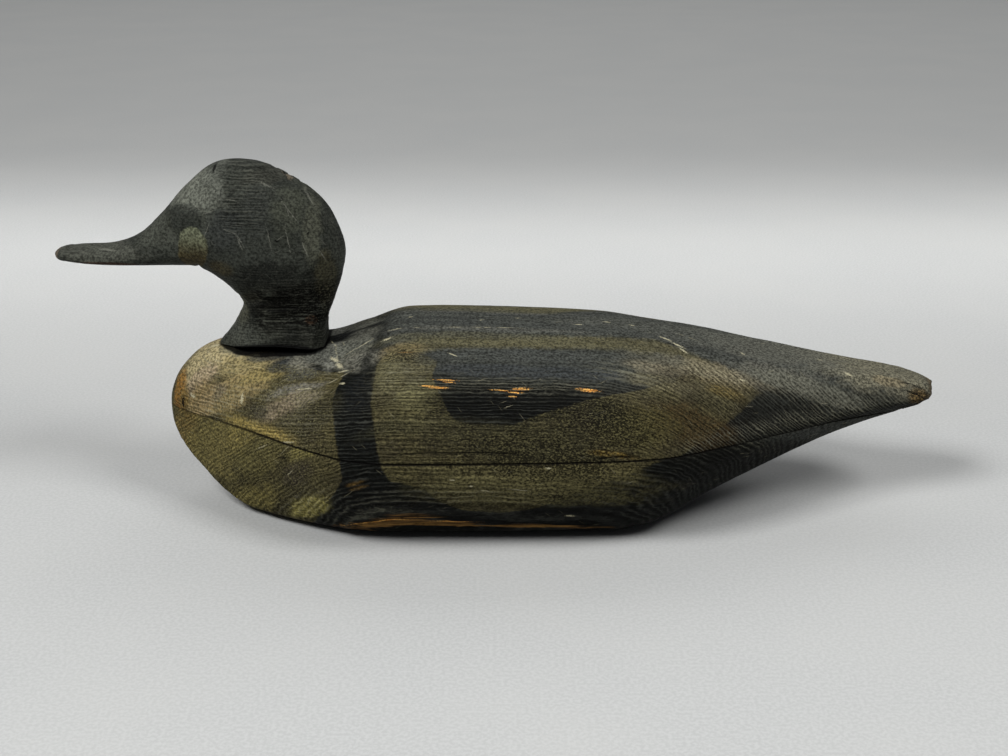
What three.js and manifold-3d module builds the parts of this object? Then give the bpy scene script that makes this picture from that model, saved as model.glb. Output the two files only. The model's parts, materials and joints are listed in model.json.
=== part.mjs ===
// Goldeneye decoy: a carved head standing on a body of two glued boards, in millimetres, +Z up.
// The bill points along -X and the tail along +X. The plane Y = 0 halves the bird, and the origin
// lies on the table under the middle of its whole length.
import * as THREE from "three";
import { mergeVertices } from "three/addons/utils/BufferGeometryUtils.js";
import Module from "manifold-3d";

// Driving dimensions of the body.
const NOSE_X = -150.8; // foremost point of the breast
const NOSE_HEIGHT = 44.5; // its height over the table
const NOSE_ROUND = 32; // length over which the breast rounds off to that point
const TAIL_X = 197; // hindmost point of the tail
const TAIL_ROUND = 13; // length over which the tail's end rounds off, seen from above
const JOINT_HEIGHT = 45; // glued joint between the lower and the upper board
const GAP = 0.3; // clearance left between pieces that touch

// Lines of the body, each as [distance along X, value].
const BACK_HEIGHT = [
  [-152, 75], [-80, 75.6], [-62, 80], [-42, 86.2], [-30, 86.6], [0, 85.8],
  [42, 84], [80, 78.3], [117, 70.5], [152, 64.2], [182, 59.4], [197, 55],
];
const KEEL_HEIGHT = [
  [-152, 13], [-138, 11.5], [-126, 6], [-112, 0.8], [-100, 0],
  [50, 0], [66, 3.4], [89, 14], [115, 23.6], [146, 34.6], [180, 44.6], [197, 48],
];
const HALF_WIDTH = [
  [-152, 15], [-128, 24], [-112, 36], [-78, 63.5], [-62, 72.5], [-42, 75.5],
  [0, 75], [45, 73], [68, 69.5], [92, 58.5], [120, 42.5], [150, 27], [180, 18.5], [197, 15.5],
];

// Half sections of the body from the middle of the back to the keel. A corner is [part of the half
// width, part of the height over the keel, rounding], and a rounding of 0.5 leaves no flat beside it.
// The corners are: back, deck edge, shoulder, upper side, lower side, chine, foot edge and keel.
const BREAST_SECTION = [
  [0, 1, 0.5], [0.4, 0.985, 0.45], [0.78, 0.86, 0.5], [1, 0.62, 0.5],
  [1, 0.36, 0.5], [0.84, 0.05, 0.4], [0.5, 0, 0.45], [0, 0, 0.5],
];
const MIDDLE_SECTION = [
  [0, 1, 0.5], [0.22, 0.992, 0.1], [0.8, 0.84, 0.3], [1, 0.63, 0.45],
  [1, 0.38, 0.5], [0.72, 0.05, 0.18], [0.5, 0, 0.15], [0, 0, 0.5],
];
const TAIL_SECTION = [
  [0, 1, 0.5], [0.5, 0.985, 0.12], [0.82, 0.74, 0.35], [1, 0.48, 0.25],
  [0.99, 0.38, 0.25], [0.7, 0.06, 0.2], [0.52, 0, 0.2], [0, 0, 0.5],
];
const BREAST_TO_MIDDLE = [-140, -70];
const MIDDLE_TO_TAIL = [55, 150];

// The neck's flat seat on the upper board.
const SEAT = { front: -129, back: -77.5, height: 74.6, halfWidth: 60 };

// Ribs of the head, from the neck's foot up round the throat and out along the bill. Each rib is
// [throat X, throat height, crown X, crown height, half width].
const NECK_FOOT = SEAT.height + GAP;
const HEAD_RIBS = [
  [-126.3, NECK_FOOT, -78.5, NECK_FOOT, 17.5],
  [-121, 81, -78, 84.5, 17.2],
  [-117, 87.5, -74.2, 95, 17.8],
  [-114.5, 93.5, -70.5, 106, 19.5],
  [-116, 97, -69.2, 119, 21.5],
  [-118.3, 99.5, -76.8, 136.8, 22.8],
  [-121, 102.3, -91.3, 149.2, 23.2],
  [-125, 105.3, -107.5, 156, 22.6],
  [-129.5, 108.2, -124.3, 155.4, 21.2],
  [-135, 110.2, -138, 145.2, 18.6],
  [-142, 110.4, -148.3, 133.9, 15.4],
  [-151, 110.4, -160, 123.6, 13.2],
  [-166, 110.4, -172, 119.2, 11.8],
  [-181, 111, -182.5, 118.5, 11],
  [-190.5, 112.2, -190.5, 118.3, 9.6],
];
const BILL_END_LENGTH = 6.5; // the bill closes on a quarter ellipse of this length
const HEAD_FULLNESS = 2.35; // exponent of the rib's superellipse: 2 is an ellipse, more is squarer
const CROWN_TAPER = 0.15; // part by which a head rib is wider at the cheek than at the crown
const TAPER_ENDS_AT_RIB = 10;
const FOOT_CHIP = { from: -113, to: -83, rise: 2.4 }; // chip under the neck's foot, left side only

// Mesh fineness.
const NOSE_ROWS = 8;
const BODY_ROWS = 34;
const TAIL_ROWS = 4;
const SECTION_STEPS = [
  0, 0.9, 1.1, 1.7, 2, 2.3, 2.6, 3, 3.4, 3.65, 4, 4.35, 4.8, 5, 5.2, 5.85, 6.15, 7,
];
const ROWS_PER_RIB = 3;
const BILL_END_ROWS = 4;
const RIB_POINTS = 28;

const { clamp, lerp, smoothstep } = THREE.MathUtils;

// A smooth line through [x, value] points that never swings past them: cubic pieces whose slope at a
// point is the weighted harmonic mean of the slopes beside it, and zero at a peak or a flat.
function lineThrough(points) {
  const run = points.slice(1).map((point, i) => point[0] - points[i][0]);
  const slope = run.map((length, i) => (points[i + 1][1] - points[i][1]) / length);
  const tangent = points.map((_, i) => {
    if (i === 0) return slope[0];
    if (i === points.length - 1) return slope[i - 1];
    if (slope[i - 1] * slope[i] <= 0) return 0;
    const before = 2 * run[i] + run[i - 1];
    const after = run[i] + 2 * run[i - 1];
    return (before + after) / (before / slope[i - 1] + after / slope[i]);
  });
  return (x) => {
    const last = points.length - 2;
    let i = 0;
    while (i < last && x >= points[i + 1][0]) i += 1;
    const t = clamp((x - points[i][0]) / run[i], 0, 1);
    const [a, b] = [points[i][1], points[i + 1][1]];
    const [ta, tb] = [tangent[i] * run[i], tangent[i + 1] * run[i]];
    return a + t * (ta + t * (3 * (b - a) - 2 * ta - tb + t * (2 * (a - b) + ta + tb)));
  };
}

const backHeight = lineThrough(BACK_HEIGHT);
const keelHeight = lineThrough(KEEL_HEIGHT);
const halfWidth = lineThrough(HALF_WIDTH);

// Quarter circle from 0 at the end of the body to 1 where its rounding begins.
const roundOff = (distance, length) => Math.sqrt(1 - (1 - clamp(distance / length, 0, 1)) ** 2);

// Corners of the half section at x, as [y, z, rounding], blended between the three patterns.
function sectionCorners(x) {
  const middle = smoothstep(x, ...BREAST_TO_MIDDLE);
  const tail = smoothstep(x, ...MIDDLE_TO_TAIL);
  const nose = roundOff(x - NOSE_X, NOSE_ROUND);
  const top = lerp(NOSE_HEIGHT, backHeight(x), nose);
  const keel = lerp(NOSE_HEIGHT, keelHeight(x), nose);
  const width = halfWidth(x) * nose * roundOff(TAIL_X - x, TAIL_ROUND);
  return MIDDLE_SECTION.map((corner, i) => {
    const [y, z, rounding] = corner.map((value, k) =>
      lerp(lerp(BREAST_SECTION[i][k], value, middle), TAIL_SECTION[i][k], tail));
    return [y * width, lerp(keel, top, z), rounding];
  });
}

// Point of a half section at step v. Whole numbers are corners, and within its rounding of a corner
// the line is a quadratic curve that leaves both neighbouring sides smoothly.
function sectionPoint(corners, v) {
  const i = Math.round(v);
  const t = v - i;
  const [y, z, rounding] = corners[i];
  const mirror = ([my, mz]) => [-my, mz];
  const before = i > 0 ? corners[i - 1] : mirror(corners[1]);
  const after = i < corners.length - 1 ? corners[i + 1] : mirror(corners[i - 1]);
  const along = (end, part) => [lerp(y, end[0], part), lerp(z, end[1], part)];
  if (Math.abs(t) >= rounding) return along(t < 0 ? before : after, Math.abs(t));
  const q = (t + rounding) / (2 * rounding);
  const [a, b] = [along(before, rounding), along(after, rounding)];
  return [0, 1].map((k) => (1 - q) ** 2 * a[k] + 2 * q * (1 - q) * corners[i][k] + q * q * b[k]);
}

// Closed ring of points round the body at x: down the -Y side and up the +Y side.
function bodyRing(x) {
  const corners = sectionCorners(x);
  const half = SECTION_STEPS.map((v) => sectionPoint(corners, v));
  const near = half.map(([y, z]) => new THREE.Vector3(x, -y, z));
  const far = half.slice(1, -1).reverse().map(([y, z]) => new THREE.Vector3(x, y, z));
  return [...near, ...far];
}

function bodyRings() {
  const quarter = (rows, row) => 1 - Math.cos((row / rows) * (Math.PI / 2));
  const steps = (rows, place) => Array.from({ length: rows }, (_, row) => place(row));
  const [front, rear] = [NOSE_X + NOSE_ROUND, TAIL_X - TAIL_ROUND];
  const places = [
    ...steps(NOSE_ROWS, (row) => NOSE_X + NOSE_ROUND * quarter(NOSE_ROWS, row)),
    ...steps(BODY_ROWS, (row) => lerp(front, rear, row / BODY_ROWS)),
    ...steps(TAIL_ROWS + 1, (row) => TAIL_X - TAIL_ROUND * quarter(TAIL_ROWS, TAIL_ROWS - row)),
  ];
  return places.map(bodyRing);
}

// Rib of the head at place s: the values of the neighbouring ribs joined by a Catmull-Rom curve.
function ribAt(s) {
  const last = HEAD_RIBS.length - 1;
  const i = Math.min(Math.floor(s), last - 1);
  const t = s - i;
  return HEAD_RIBS[i].map((value, k) => {
    const next = HEAD_RIBS[i + 1][k];
    const slopeHere = i > 0 ? (next - HEAD_RIBS[i - 1][k]) / 2 : next - value;
    const slopeNext = i + 2 <= last ? (HEAD_RIBS[i + 2][k] - value) / 2 : next - value;
    return value + t * (slopeHere + t * (3 * (next - value) - 2 * slopeHere - slopeNext
      + t * (2 * (value - next) + slopeHere + slopeNext)));
  });
}

// Closed ring round one rib: a superellipse from throat to crown, a little wider at the cheek.
function headRing([throatX, throatZ, crownX, crownZ, width], taper) {
  const power = (value) => Math.sign(value) * Math.abs(value) ** (2 / HEAD_FULLNESS);
  return Array.from({ length: RIB_POINTS }, (_, k) => {
    const angle = (-2 * Math.PI * k) / RIB_POINTS;
    const up = 0.5 - 0.5 * power(Math.cos(angle));
    const y = width * power(Math.sin(angle)) * (1 - taper * (2 * up - 1));
    return new THREE.Vector3(lerp(throatX, crownX, up), y, lerp(throatZ, crownZ, up));
  });
}

function headRings() {
  const last = HEAD_RIBS.length - 1;
  const rings = [];
  for (let row = 0; row <= last * ROWS_PER_RIB; row += 1) {
    const s = row / ROWS_PER_RIB;
    rings.push(headRing(ribAt(s), CROWN_TAPER * clamp(1 - s / TAPER_ENDS_AT_RIB, 0, 1)));
  }
  const [x, throatZ, , crownZ, width] = HEAD_RIBS[last];
  const middle = (throatZ + crownZ) / 2;
  for (let row = 1; row <= BILL_END_ROWS; row += 1) {
    const angle = (row / BILL_END_ROWS) * (Math.PI / 2);
    const endX = x - BILL_END_LENGTH * Math.sin(angle);
    const size = Math.cos(angle);
    const [low, high] = [lerp(middle, throatZ, size), lerp(middle, crownZ, size)];
    rings.push(headRing([endX, low, endX, high, width * size], 0));
  }
  for (const point of rings[0]) {
    const across = smoothstep(-point.y, 4, 14);
    const along = clamp((point.x - FOOT_CHIP.from) / (FOOT_CHIP.to - FOOT_CHIP.from), 0, 1);
    point.z += FOOT_CHIP.rise * across * Math.sin(Math.PI * along) ** 2;
  }
  return rings;
}

// Keeps only the positions, joins equal corners and drops triangles that have closed to a line.
function welded(geometry) {
  geometry.deleteAttribute("normal");
  geometry.deleteAttribute("uv");
  const joined = mergeVertices(geometry, 1e-3);
  const corners = joined.index.array;
  const kept = [];
  for (let i = 0; i < corners.length; i += 3) {
    const [a, b, c] = corners.slice(i, i + 3);
    if (a !== b && b !== c && c !== a) kept.push(a, b, c);
  }
  joined.setIndex(kept);
  return joined;
}

// Skin over a row of rings. A flat end gets a fan of triangles round its centre.
function loft(rings, capFirst) {
  const size = rings[0].length;
  const points = rings.flat();
  const faces = [];
  for (let row = 0; row + 1 < rings.length; row += 1) {
    for (let k = 0; k < size; k += 1) {
      const [a, b] = [row * size + k, row * size + ((k + 1) % size)];
      faces.push(a, b, a + size, b, b + size, a + size);
    }
  }
  if (capFirst) {
    const centre = new THREE.Vector3();
    rings[0].forEach((point) => centre.addScaledVector(point, 1 / size));
    centre.z = NECK_FOOT;
    points.push(centre);
    for (let k = 0; k < size; k += 1) faces.push(points.length - 1, (k + 1) % size, k);
  }
  const geometry = new THREE.BufferGeometry().setFromPoints(points);
  geometry.setIndex(faces);
  return welded(geometry);
}

const wasm = await Module();
wasm.setup();

function toSolid(geometry) {
  return new wasm.Manifold(new wasm.Mesh({
    numProp: 3,
    vertProperties: new Float32Array(geometry.attributes.position.array),
    triVerts: new Uint32Array(geometry.index.array),
  }));
}

function toGeometry(solid) {
  const mesh = solid.getMesh();
  const geometry = new THREE.BufferGeometry();
  geometry.setAttribute("position", new THREE.BufferAttribute(mesh.vertProperties, 3));
  geometry.setIndex(new THREE.BufferAttribute(mesh.triVerts, 1));
  return geometry;
}

// Block between two corners, for cutting.
function block(low, high) {
  const size = high.map((value, i) => value - low[i]);
  const box = new THREE.BoxGeometry(...size);
  box.translate(...low.map((value, i) => value + size[i] / 2));
  return toSolid(welded(box));
}

const REACH = 300; // half the side of a cutting block, larger than the bird

function lowerBoard(body) {
  const under = block([-REACH, -REACH, -REACH], [REACH, REACH, JOINT_HEIGHT - GAP / 2]);
  return body.intersect(under);
}

function upperBoard(body) {
  const over = block([-REACH, -REACH, JOINT_HEIGHT + GAP / 2], [REACH, REACH, REACH]);
  const seat = block([SEAT.front, -SEAT.halfWidth, SEAT.height], [SEAT.back, SEAT.halfWidth, REACH]);
  return body.intersect(over).subtract(seat);
}

function paintedWood(color, roughness) {
  return new THREE.MeshStandardMaterial({ color, roughness, metalness: 0, flatShading: true });
}

function piece(name, geometry, material) {
  geometry.computeVertexNormals();
  const mesh = new THREE.Mesh(geometry, material);
  mesh.name = name;
  return mesh;
}

const body = toSolid(loft(bodyRings(), false));

const decoy = new THREE.Group();
decoy.add(piece("head", loft(headRings(), true), paintedWood(0x2b2c29, 0.75)));
decoy.add(piece("upper_body", toGeometry(upperBoard(body)), paintedWood(0x3d3c2d, 0.85)));
decoy.add(piece("lower_body", toGeometry(lowerBoard(body)), paintedWood(0x38362a, 0.85)));

export default decoy;
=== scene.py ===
# %% [markdown]
# # A goldeneye decoy in worn paint
#
# The bird is three pieces of softwood: a carved head, and a body of an upper and a lower board glued
# together. Old paint in black and olive covers it, and weather has eaten the soft wood between the
# growth rings, so that the hard rings stand as fine ridges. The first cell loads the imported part. It
# is the fixed frame, and every piece made below takes the place of one of its solids.

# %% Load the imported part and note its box
import itertools
import json
import math
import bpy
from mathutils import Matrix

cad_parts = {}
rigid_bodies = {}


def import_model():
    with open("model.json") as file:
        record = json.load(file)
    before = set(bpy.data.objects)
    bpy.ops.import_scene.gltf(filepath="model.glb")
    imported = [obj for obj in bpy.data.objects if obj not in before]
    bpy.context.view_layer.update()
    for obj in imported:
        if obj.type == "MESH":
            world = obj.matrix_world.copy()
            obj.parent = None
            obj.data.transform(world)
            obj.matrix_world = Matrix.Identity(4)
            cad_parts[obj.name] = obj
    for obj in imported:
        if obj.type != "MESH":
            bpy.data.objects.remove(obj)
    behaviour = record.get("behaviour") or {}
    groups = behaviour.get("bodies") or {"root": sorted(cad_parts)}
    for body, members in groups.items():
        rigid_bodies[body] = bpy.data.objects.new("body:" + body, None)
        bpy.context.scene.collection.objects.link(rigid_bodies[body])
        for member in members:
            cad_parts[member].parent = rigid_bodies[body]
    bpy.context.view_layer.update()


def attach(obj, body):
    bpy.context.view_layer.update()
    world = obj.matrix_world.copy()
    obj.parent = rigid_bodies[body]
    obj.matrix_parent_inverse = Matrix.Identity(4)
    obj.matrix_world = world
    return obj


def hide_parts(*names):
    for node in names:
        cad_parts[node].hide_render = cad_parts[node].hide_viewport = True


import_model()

from types import SimpleNamespace

import bpy
import numpy as np

MM = 0.001  # the shapes below are worked out in millimetres, and Blender's unit is the metre

# %% [markdown]
# ## Camera, floor and light
#
# The camera comes first, because every later choice is judged through it. It stands 65 cm in front
# of the bird, a little above it, and looks down by 19.5 degrees. The plain view transform keeps
# the dark paints as dark as they are.

# %% Camera
CAMERA_PLACE = (0.0014, -0.650, 0.2865)
CAMERA_DIP = math.radians(19.51)
LENS_MM, SENSOR_MM = 54, 36


def in_scene(name, data):
    """New object linked to the scene, with its origin at the world's."""
    made = bpy.data.objects.new(name, data)
    bpy.context.scene.collection.objects.link(made)
    return made


camera = in_scene("table_camera", bpy.data.cameras.new("table_camera"))
camera.data.lens, camera.data.sensor_width = LENS_MM, SENSOR_MM
camera.location = CAMERA_PLACE
camera.rotation_euler = (math.pi / 2 - CAMERA_DIP, 0, 0)
bpy.context.scene.camera = camera
bpy.context.scene.view_settings.view_transform = "Standard"
print("camera at", CAMERA_PLACE, "looking down", round(math.degrees(CAMERA_DIP), 1), "degrees")


# %% [markdown]
# Materials are built from nodes. A few short words for adding nodes keep the recipes readable: each
# call adds one node, links the sockets it is given and sets the plain numbers.

# %% Short words for node trees
def linear(code):
    """Colour of a six digit code in linear light: ((c + 0.055) / 1.055) ** 2.4 for each channel."""
    channels = [int(code[i:i + 2], 16) / 255 for i in (0, 2, 4)]
    return (*[c / 12.92 if c <= 0.04045 else ((c + 0.055) / 1.055) ** 2.4 for c in channels], 1.0)


class Bench:
    """Adds nodes to one node tree and links them. A colour may be given as a six digit code."""

    def __init__(self, tree):
        self.tree = tree

    def feed(self, socket, value):
        if isinstance(value, bpy.types.NodeSocket):
            self.tree.links.new(value, socket)
        else:
            socket.default_value = linear(value) if isinstance(value, str) else value

    def add(self, kind, *values, **settings):
        """New node with its settings made and its first sockets fed in order."""
        node = self.tree.nodes.new(kind)
        for name, value in settings.items():
            setattr(node, name, value)
        for socket, value in zip(node.inputs, values):
            self.feed(socket, value)
        return node

    def sum(self, operation, *values, clamp=False):
        """One step of arithmetic on numbers."""
        return self.add("ShaderNodeMath", *values, operation=operation, use_clamp=clamp).outputs[0]

    def line(self, value, slope, offset, clamp=False):
        """value * slope + offset."""
        return self.sum("MULTIPLY_ADD", value, slope, offset, clamp=clamp)

    def product(self, *values):
        total = values[0]
        for value in values[1:]:
            total = self.sum("MULTIPLY", total, value)
        return total

    def vector(self, operation, *values, out=0):
        """One step of arithmetic on vectors."""
        return self.add("ShaderNodeVectorMath", *values, operation=operation).outputs[out]

    def scale(self, vector, factor):
        """A vector or a colour times a number."""
        node = self.add("ShaderNodeVectorMath", vector, operation="SCALE")
        self.feed(node.inputs["Scale"], factor)
        return node.outputs[0]

    def step(self, value, low, high, start=0.0, end=1.0):
        """Smooth step: start below low, end above high, 3t^2 - 2t^3 between."""
        node = self.add("ShaderNodeMapRange", value, low, high, start, end)
        node.interpolation_type = "SMOOTHSTEP"
        return node.outputs[0]

    def blend(self, amount, first, second):
        """Colour that goes from first to second."""
        node = self.add("ShaderNodeMix", data_type="RGBA")
        for index, value in ((0, amount), (6, first), (7, second)):
            self.feed(node.inputs[index], value)
        return node.outputs[2]

    def noise(self, place, scale=1.0, detail=3.0, roughness=0.55):
        """Cloudy noise, about 0.5 on average."""
        node = self.add("ShaderNodeTexNoise")
        for name, value in (("Vector", place), ("Scale", scale), ("Detail", detail),
                            ("Roughness", roughness)):
            self.feed(node.inputs[name], value)
        return node.outputs[0]

    def attribute(self, name):
        return self.add("ShaderNodeAttribute", attribute_name=name).outputs["Fac"]

    def use(self, group, **values):
        """Places a node group and feeds its sockets by name."""
        node = self.add("ShaderNodeGroup", node_tree=group)
        for name, value in values.items():
            self.feed(node.inputs[name.replace("_", " ")], value)
        return node


print("an olive in linear light:", [round(channel, 3) for channel in linear("3d3823")[:3]])


# %% [markdown]
# Two more words start a tree. A node group is a recipe with named sockets that several materials can
# share, and a material here is always one Principled shader whose inputs the recipes feed.

# %% Empty groups and materials
FLOAT, VECTOR = "NodeSocketFloat", "NodeSocketVector"


def new_group(name, inputs, outputs):
    """Empty node group with its sockets; returns the bench, the entry's outputs and the exit node."""
    tree = bpy.data.node_groups.new(name, "ShaderNodeTree")
    for socket, (kind, value) in inputs.items():
        made = tree.interface.new_socket(name=socket, in_out="INPUT", socket_type=kind)
        made.default_value = value
    for socket, kind in outputs.items():
        tree.interface.new_socket(name=socket, in_out="OUTPUT", socket_type=kind)
    bench = Bench(tree)
    return bench, bench.add("NodeGroupInput").outputs, bench.add("NodeGroupOutput").inputs


def new_material(name):
    """Material with an empty tree and a Principled shader wired to its output."""
    material = bpy.data.materials.new(name)
    material.use_nodes = True
    material.node_tree.nodes.clear()
    bench = Bench(material.node_tree)
    shader = bench.add("ShaderNodeBsdfPrincipled")
    output = bench.add("ShaderNodeOutputMaterial")
    material.node_tree.links.new(shader.outputs[0], output.inputs[0])
    return material, bench, shader


# %% [markdown]
# The floor is a plain pale sheet. A soft light like a window stands high in front on the left, and a
# lamp on the right, so two soft shadows fall to the sides and behind the bird, and the sheet just in
# front of it stays bright. A narrow strip behind the bird and a wide light at the far end brighten
# the sheet towards the back.

# %% Floor and lights
FLOOR_HALF = 6.0

floor_mesh = bpy.data.meshes.new("floor")
corners = [(-FLOOR_HALF, -FLOOR_HALF, 0), (FLOOR_HALF, -FLOOR_HALF, 0),
           (FLOOR_HALF, FLOOR_HALF, 0), (-FLOOR_HALF, FLOOR_HALF, 0)]
floor_mesh.from_pydata(corners, [], [(0, 1, 2, 3)])
floor = in_scene("floor", floor_mesh)

material, bench, shader = new_material("pale_sheet")
place = bench.add("ShaderNodeTexCoord").outputs["Object"]
speckle = bench.step(bench.noise(place, 700.0, 2.0), 0.35, 0.65)
clouded = bench.step(bench.noise(place, 9.0, 3.0), 0.3, 0.7)
tone = bench.blend(speckle, "a9aaa9", "b2b3b2")
tone = bench.blend(bench.product(clouded, 0.25), tone, "b6b6b3")
bench.feed(shader.inputs["Base Color"], tone)
shader.inputs["Roughness"].default_value = 0.7
shader.inputs["Specular IOR Level"].default_value = 0.2
floor_mesh.materials.append(material)

LIGHTS = {  # name: (place, where it points, width, depth, watts, beam in degrees)
    "window": ((-0.75, -0.80, 1.25), (0.0, 0.0, 0.04), 0.6, 0.5, 25.0, 180),
    "lamp": ((0.85, -0.52, 1.15), (0.0, 0.0, 0.04), 0.5, 0.5, 13.5, 180),
    "strip": ((0.0, 0.45, 0.55), (0.0, 0.449, 0.0), 2.4, 0.1, 1.6, 70),
    "far_end": ((0.0, 2.2, 2.0), (0.0, 2.19, 0.0), 5.0, 2.2, 44.0, 180),
}
for name, (spot, aim, width, depth, watts, beam) in LIGHTS.items():
    light = bpy.data.lights.new(name, "AREA")
    light.shape = "RECTANGLE"
    light.size, light.size_y, light.energy, light.spread = width, depth, watts, math.radians(beam)
    lamp = in_scene(name, light)
    lamp.location = spot
    direction = np.array(aim) - np.array(spot)
    lamp.rotation_euler = (math.atan2(math.hypot(direction[0], direction[1]), -direction[2]), 0,
                           math.atan2(-direction[0], direction[1]))

SKY_TINT, SKY_STRENGTH = (0.93, 0.96, 1.0, 1), 0.09
world = bpy.data.worlds.new("studio")
world.use_nodes = True
background = world.node_tree.nodes["Background"]
background.inputs[0].default_value, background.inputs[1].default_value = SKY_TINT, SKY_STRENGTH
bpy.context.scene.world = world
print("floor", 2 * FLOOR_HALF, "m wide,", len(LIGHTS), "lights")


# %% [markdown]
# ## The lines of the body
#
# A boat builder draws a hull as a few long lines: its height, its keel and its plan. This body is
# drawn in the same way. Its half section runs through eight corners, and the rounding of each corner
# says how much of the sides beside it the curve takes up. The numbers are those of the solids, so
# the carved skin lies on them.

# %% Lines of the body, in millimetres
NOSE_X, NOSE_HEIGHT, NOSE_ROUND = -150.8, 44.5, 32.0
TAIL_X, TAIL_ROUND = 197.0, 13.0
JOINT_HEIGHT, GAP = 45.0, 0.3
BACK_HEIGHT = [(-152, 75), (-80, 75.6), (-62, 80), (-42, 86.2), (-30, 86.6), (0, 85.8),
               (42, 84), (80, 78.3), (117, 70.5), (152, 64.2), (182, 59.4), (197, 55)]
KEEL_HEIGHT = [(-152, 13), (-138, 11.5), (-126, 6), (-112, 0.8), (-100, 0), (50, 0),
               (66, 3.4), (89, 14), (115, 23.6), (146, 34.6), (180, 44.6), (197, 48)]
HALF_WIDTH = [(-152, 15), (-128, 24), (-112, 36), (-78, 63.5), (-62, 72.5), (-42, 75.5), (0, 75),
              (45, 73), (68, 69.5), (92, 58.5), (120, 42.5), (150, 27), (180, 18.5), (197, 15.5)]
BREAST_SECTION = [(0, 1, .5), (.4, .985, .45), (.78, .86, .5), (1, .62, .5),
                  (1, .36, .5), (.84, .05, .4), (.5, 0, .45), (0, 0, .5)]
MIDDLE_SECTION = [(0, 1, .5), (.22, .992, .1), (.8, .84, .3), (1, .63, .45),
                  (1, .38, .5), (.72, .05, .18), (.5, 0, .15), (0, 0, .5)]
TAIL_SECTION = [(0, 1, .5), (.5, .985, .12), (.82, .74, .35), (1, .48, .25),
                (.99, .38, .25), (.7, .06, .2), (.52, 0, .2), (0, 0, .5)]
BREAST_TO_MIDDLE, MIDDLE_TO_TAIL = (-140, -70), (55, 150)
LAST_CORNER = len(MIDDLE_SECTION) - 1
print("the body runs from", NOSE_X, "to", TAIL_X, "mm;", LAST_CORNER + 1, "corners a half section")


# %% [markdown]
# A few functions turn those numbers into a surface. A line through its points must not swing past
# them, or the back would get humps that no knife left, so its slopes are held in check. A section is
# found at any place x, and a number v from 0 to 7 walks down it from the back to the keel.

# %% From the lines to a surface
def smooth(value, low, high):
    """0 below low, 1 above high, and 3t^2 - 2t^3 between."""
    t = np.clip((value - low) / (high - low), 0, 1)
    return t * t * (3 - 2 * t)


def line_through(points, x):
    """Height of a smooth line at x: cubic pieces whose slope at a point is the weighted harmonic
    mean of the slopes beside it, and zero at a peak or a flat, so it never swings past a point."""
    knots, values = np.array(points, float).T
    run = np.diff(knots)
    slope = np.diff(values) / run
    tangent = np.concatenate([slope[:1], np.zeros(len(slope) - 1), slope[-1:]])
    before, after = 2 * run[1:] + run[:-1], run[1:] + 2 * run[:-1]
    rising = slope[:-1] * slope[1:] > 0
    safe = np.where(rising, slope[:-1], 1), np.where(rising, slope[1:], 1)
    tangent[1:-1] = np.where(rising, (before + after) / (before / safe[0] + after / safe[1]), 0)
    i = np.clip(np.searchsorted(knots, x, side="right") - 1, 0, len(run) - 1)
    t = np.clip((x - knots[i]) / run[i], 0, 1)
    start, end = values[i], values[i + 1]
    leave, arrive = tangent[i] * run[i], tangent[i + 1] * run[i]
    bend = 3 * (end - start) - 2 * leave - arrive + t * (2 * (start - end) + leave + arrive)
    return start + t * (leave + t * bend)


def round_off(distance, length):
    """Quarter circle: 0 at the end of the body, 1 where its rounding begins."""
    return np.sqrt(1 - (1 - np.clip(distance / length, 0, 1)) ** 2)


def section_corners(x):
    """Corners of the half section at each x, in mm, with the mirrored neighbours of both ends."""
    middle = smooth(x, *BREAST_TO_MIDDLE)[:, None, None]
    tail = smooth(x, *MIDDLE_TO_TAIL)[:, None, None]
    nose = round_off(x - NOSE_X, NOSE_ROUND)
    top = NOSE_HEIGHT + (line_through(BACK_HEIGHT, x) - NOSE_HEIGHT) * nose
    keel = NOSE_HEIGHT + (line_through(KEEL_HEIGHT, x) - NOSE_HEIGHT) * nose
    width = line_through(HALF_WIDTH, x) * nose * round_off(TAIL_X - x, TAIL_ROUND)
    shape = np.array(BREAST_SECTION) * (1 - middle) + np.array(MIDDLE_SECTION) * middle
    shape = shape * (1 - tail) + np.array(TAIL_SECTION) * tail
    corners = np.stack([shape[..., 0] * width[:, None],
                        keel[:, None] + shape[..., 1] * (top - keel)[:, None]], -1)
    mirror = np.array([-1, 1])
    padded = np.concatenate([corners[:, 1:2] * mirror, corners, corners[:, -2:-1] * mirror], 1)
    return padded, shape[..., 2]


def section_points(x, v):
    """Point [y, z] of the half section at x for each step v. Whole steps are corners. Within its
    rounding r of a corner the line is a quadratic curve, (1-q)^2 a + 2q(1-q) corner + q^2 b, where
    q = (t + r) / 2r, and elsewhere it is the straight side."""
    corners, rounding = section_corners(x)
    i = np.rint(v).astype(int)
    row = np.arange(len(x))[:, None]
    t, r = (v - i)[..., None], rounding[row, i][..., None]
    here, before, after = corners[row, i + 1], corners[row, i], corners[row, i + 2]
    a, b = here + r * (before - here), here + r * (after - here)
    q = (t + r) / (2 * r)
    curve = (1 - q) ** 2 * a + 2 * q * (1 - q) * here + q * q * b
    side = here + np.abs(t) * (np.where(t < 0, before, after) - here)
    return np.where(np.abs(t) < r, curve, side)


check = section_points(np.array([0.0]), np.array([[0.0, 3.5, 7.0]]))[0]
print("back, side and keel of the middle section at", check.round(1).tolist())


# %% [markdown]
# ## Weather
#
# Nothing on an old carving is quite even. Value noise gives that: random numbers sit on a lattice,
# and a point takes the smooth mean of the eight round it. The lattice cell can be longer along the
# grain than across it, which is what wood asks for. The random numbers are seeded, so the bird comes
# out the same each time.

# %% Noise on a lattice
LATTICE = 48


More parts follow.
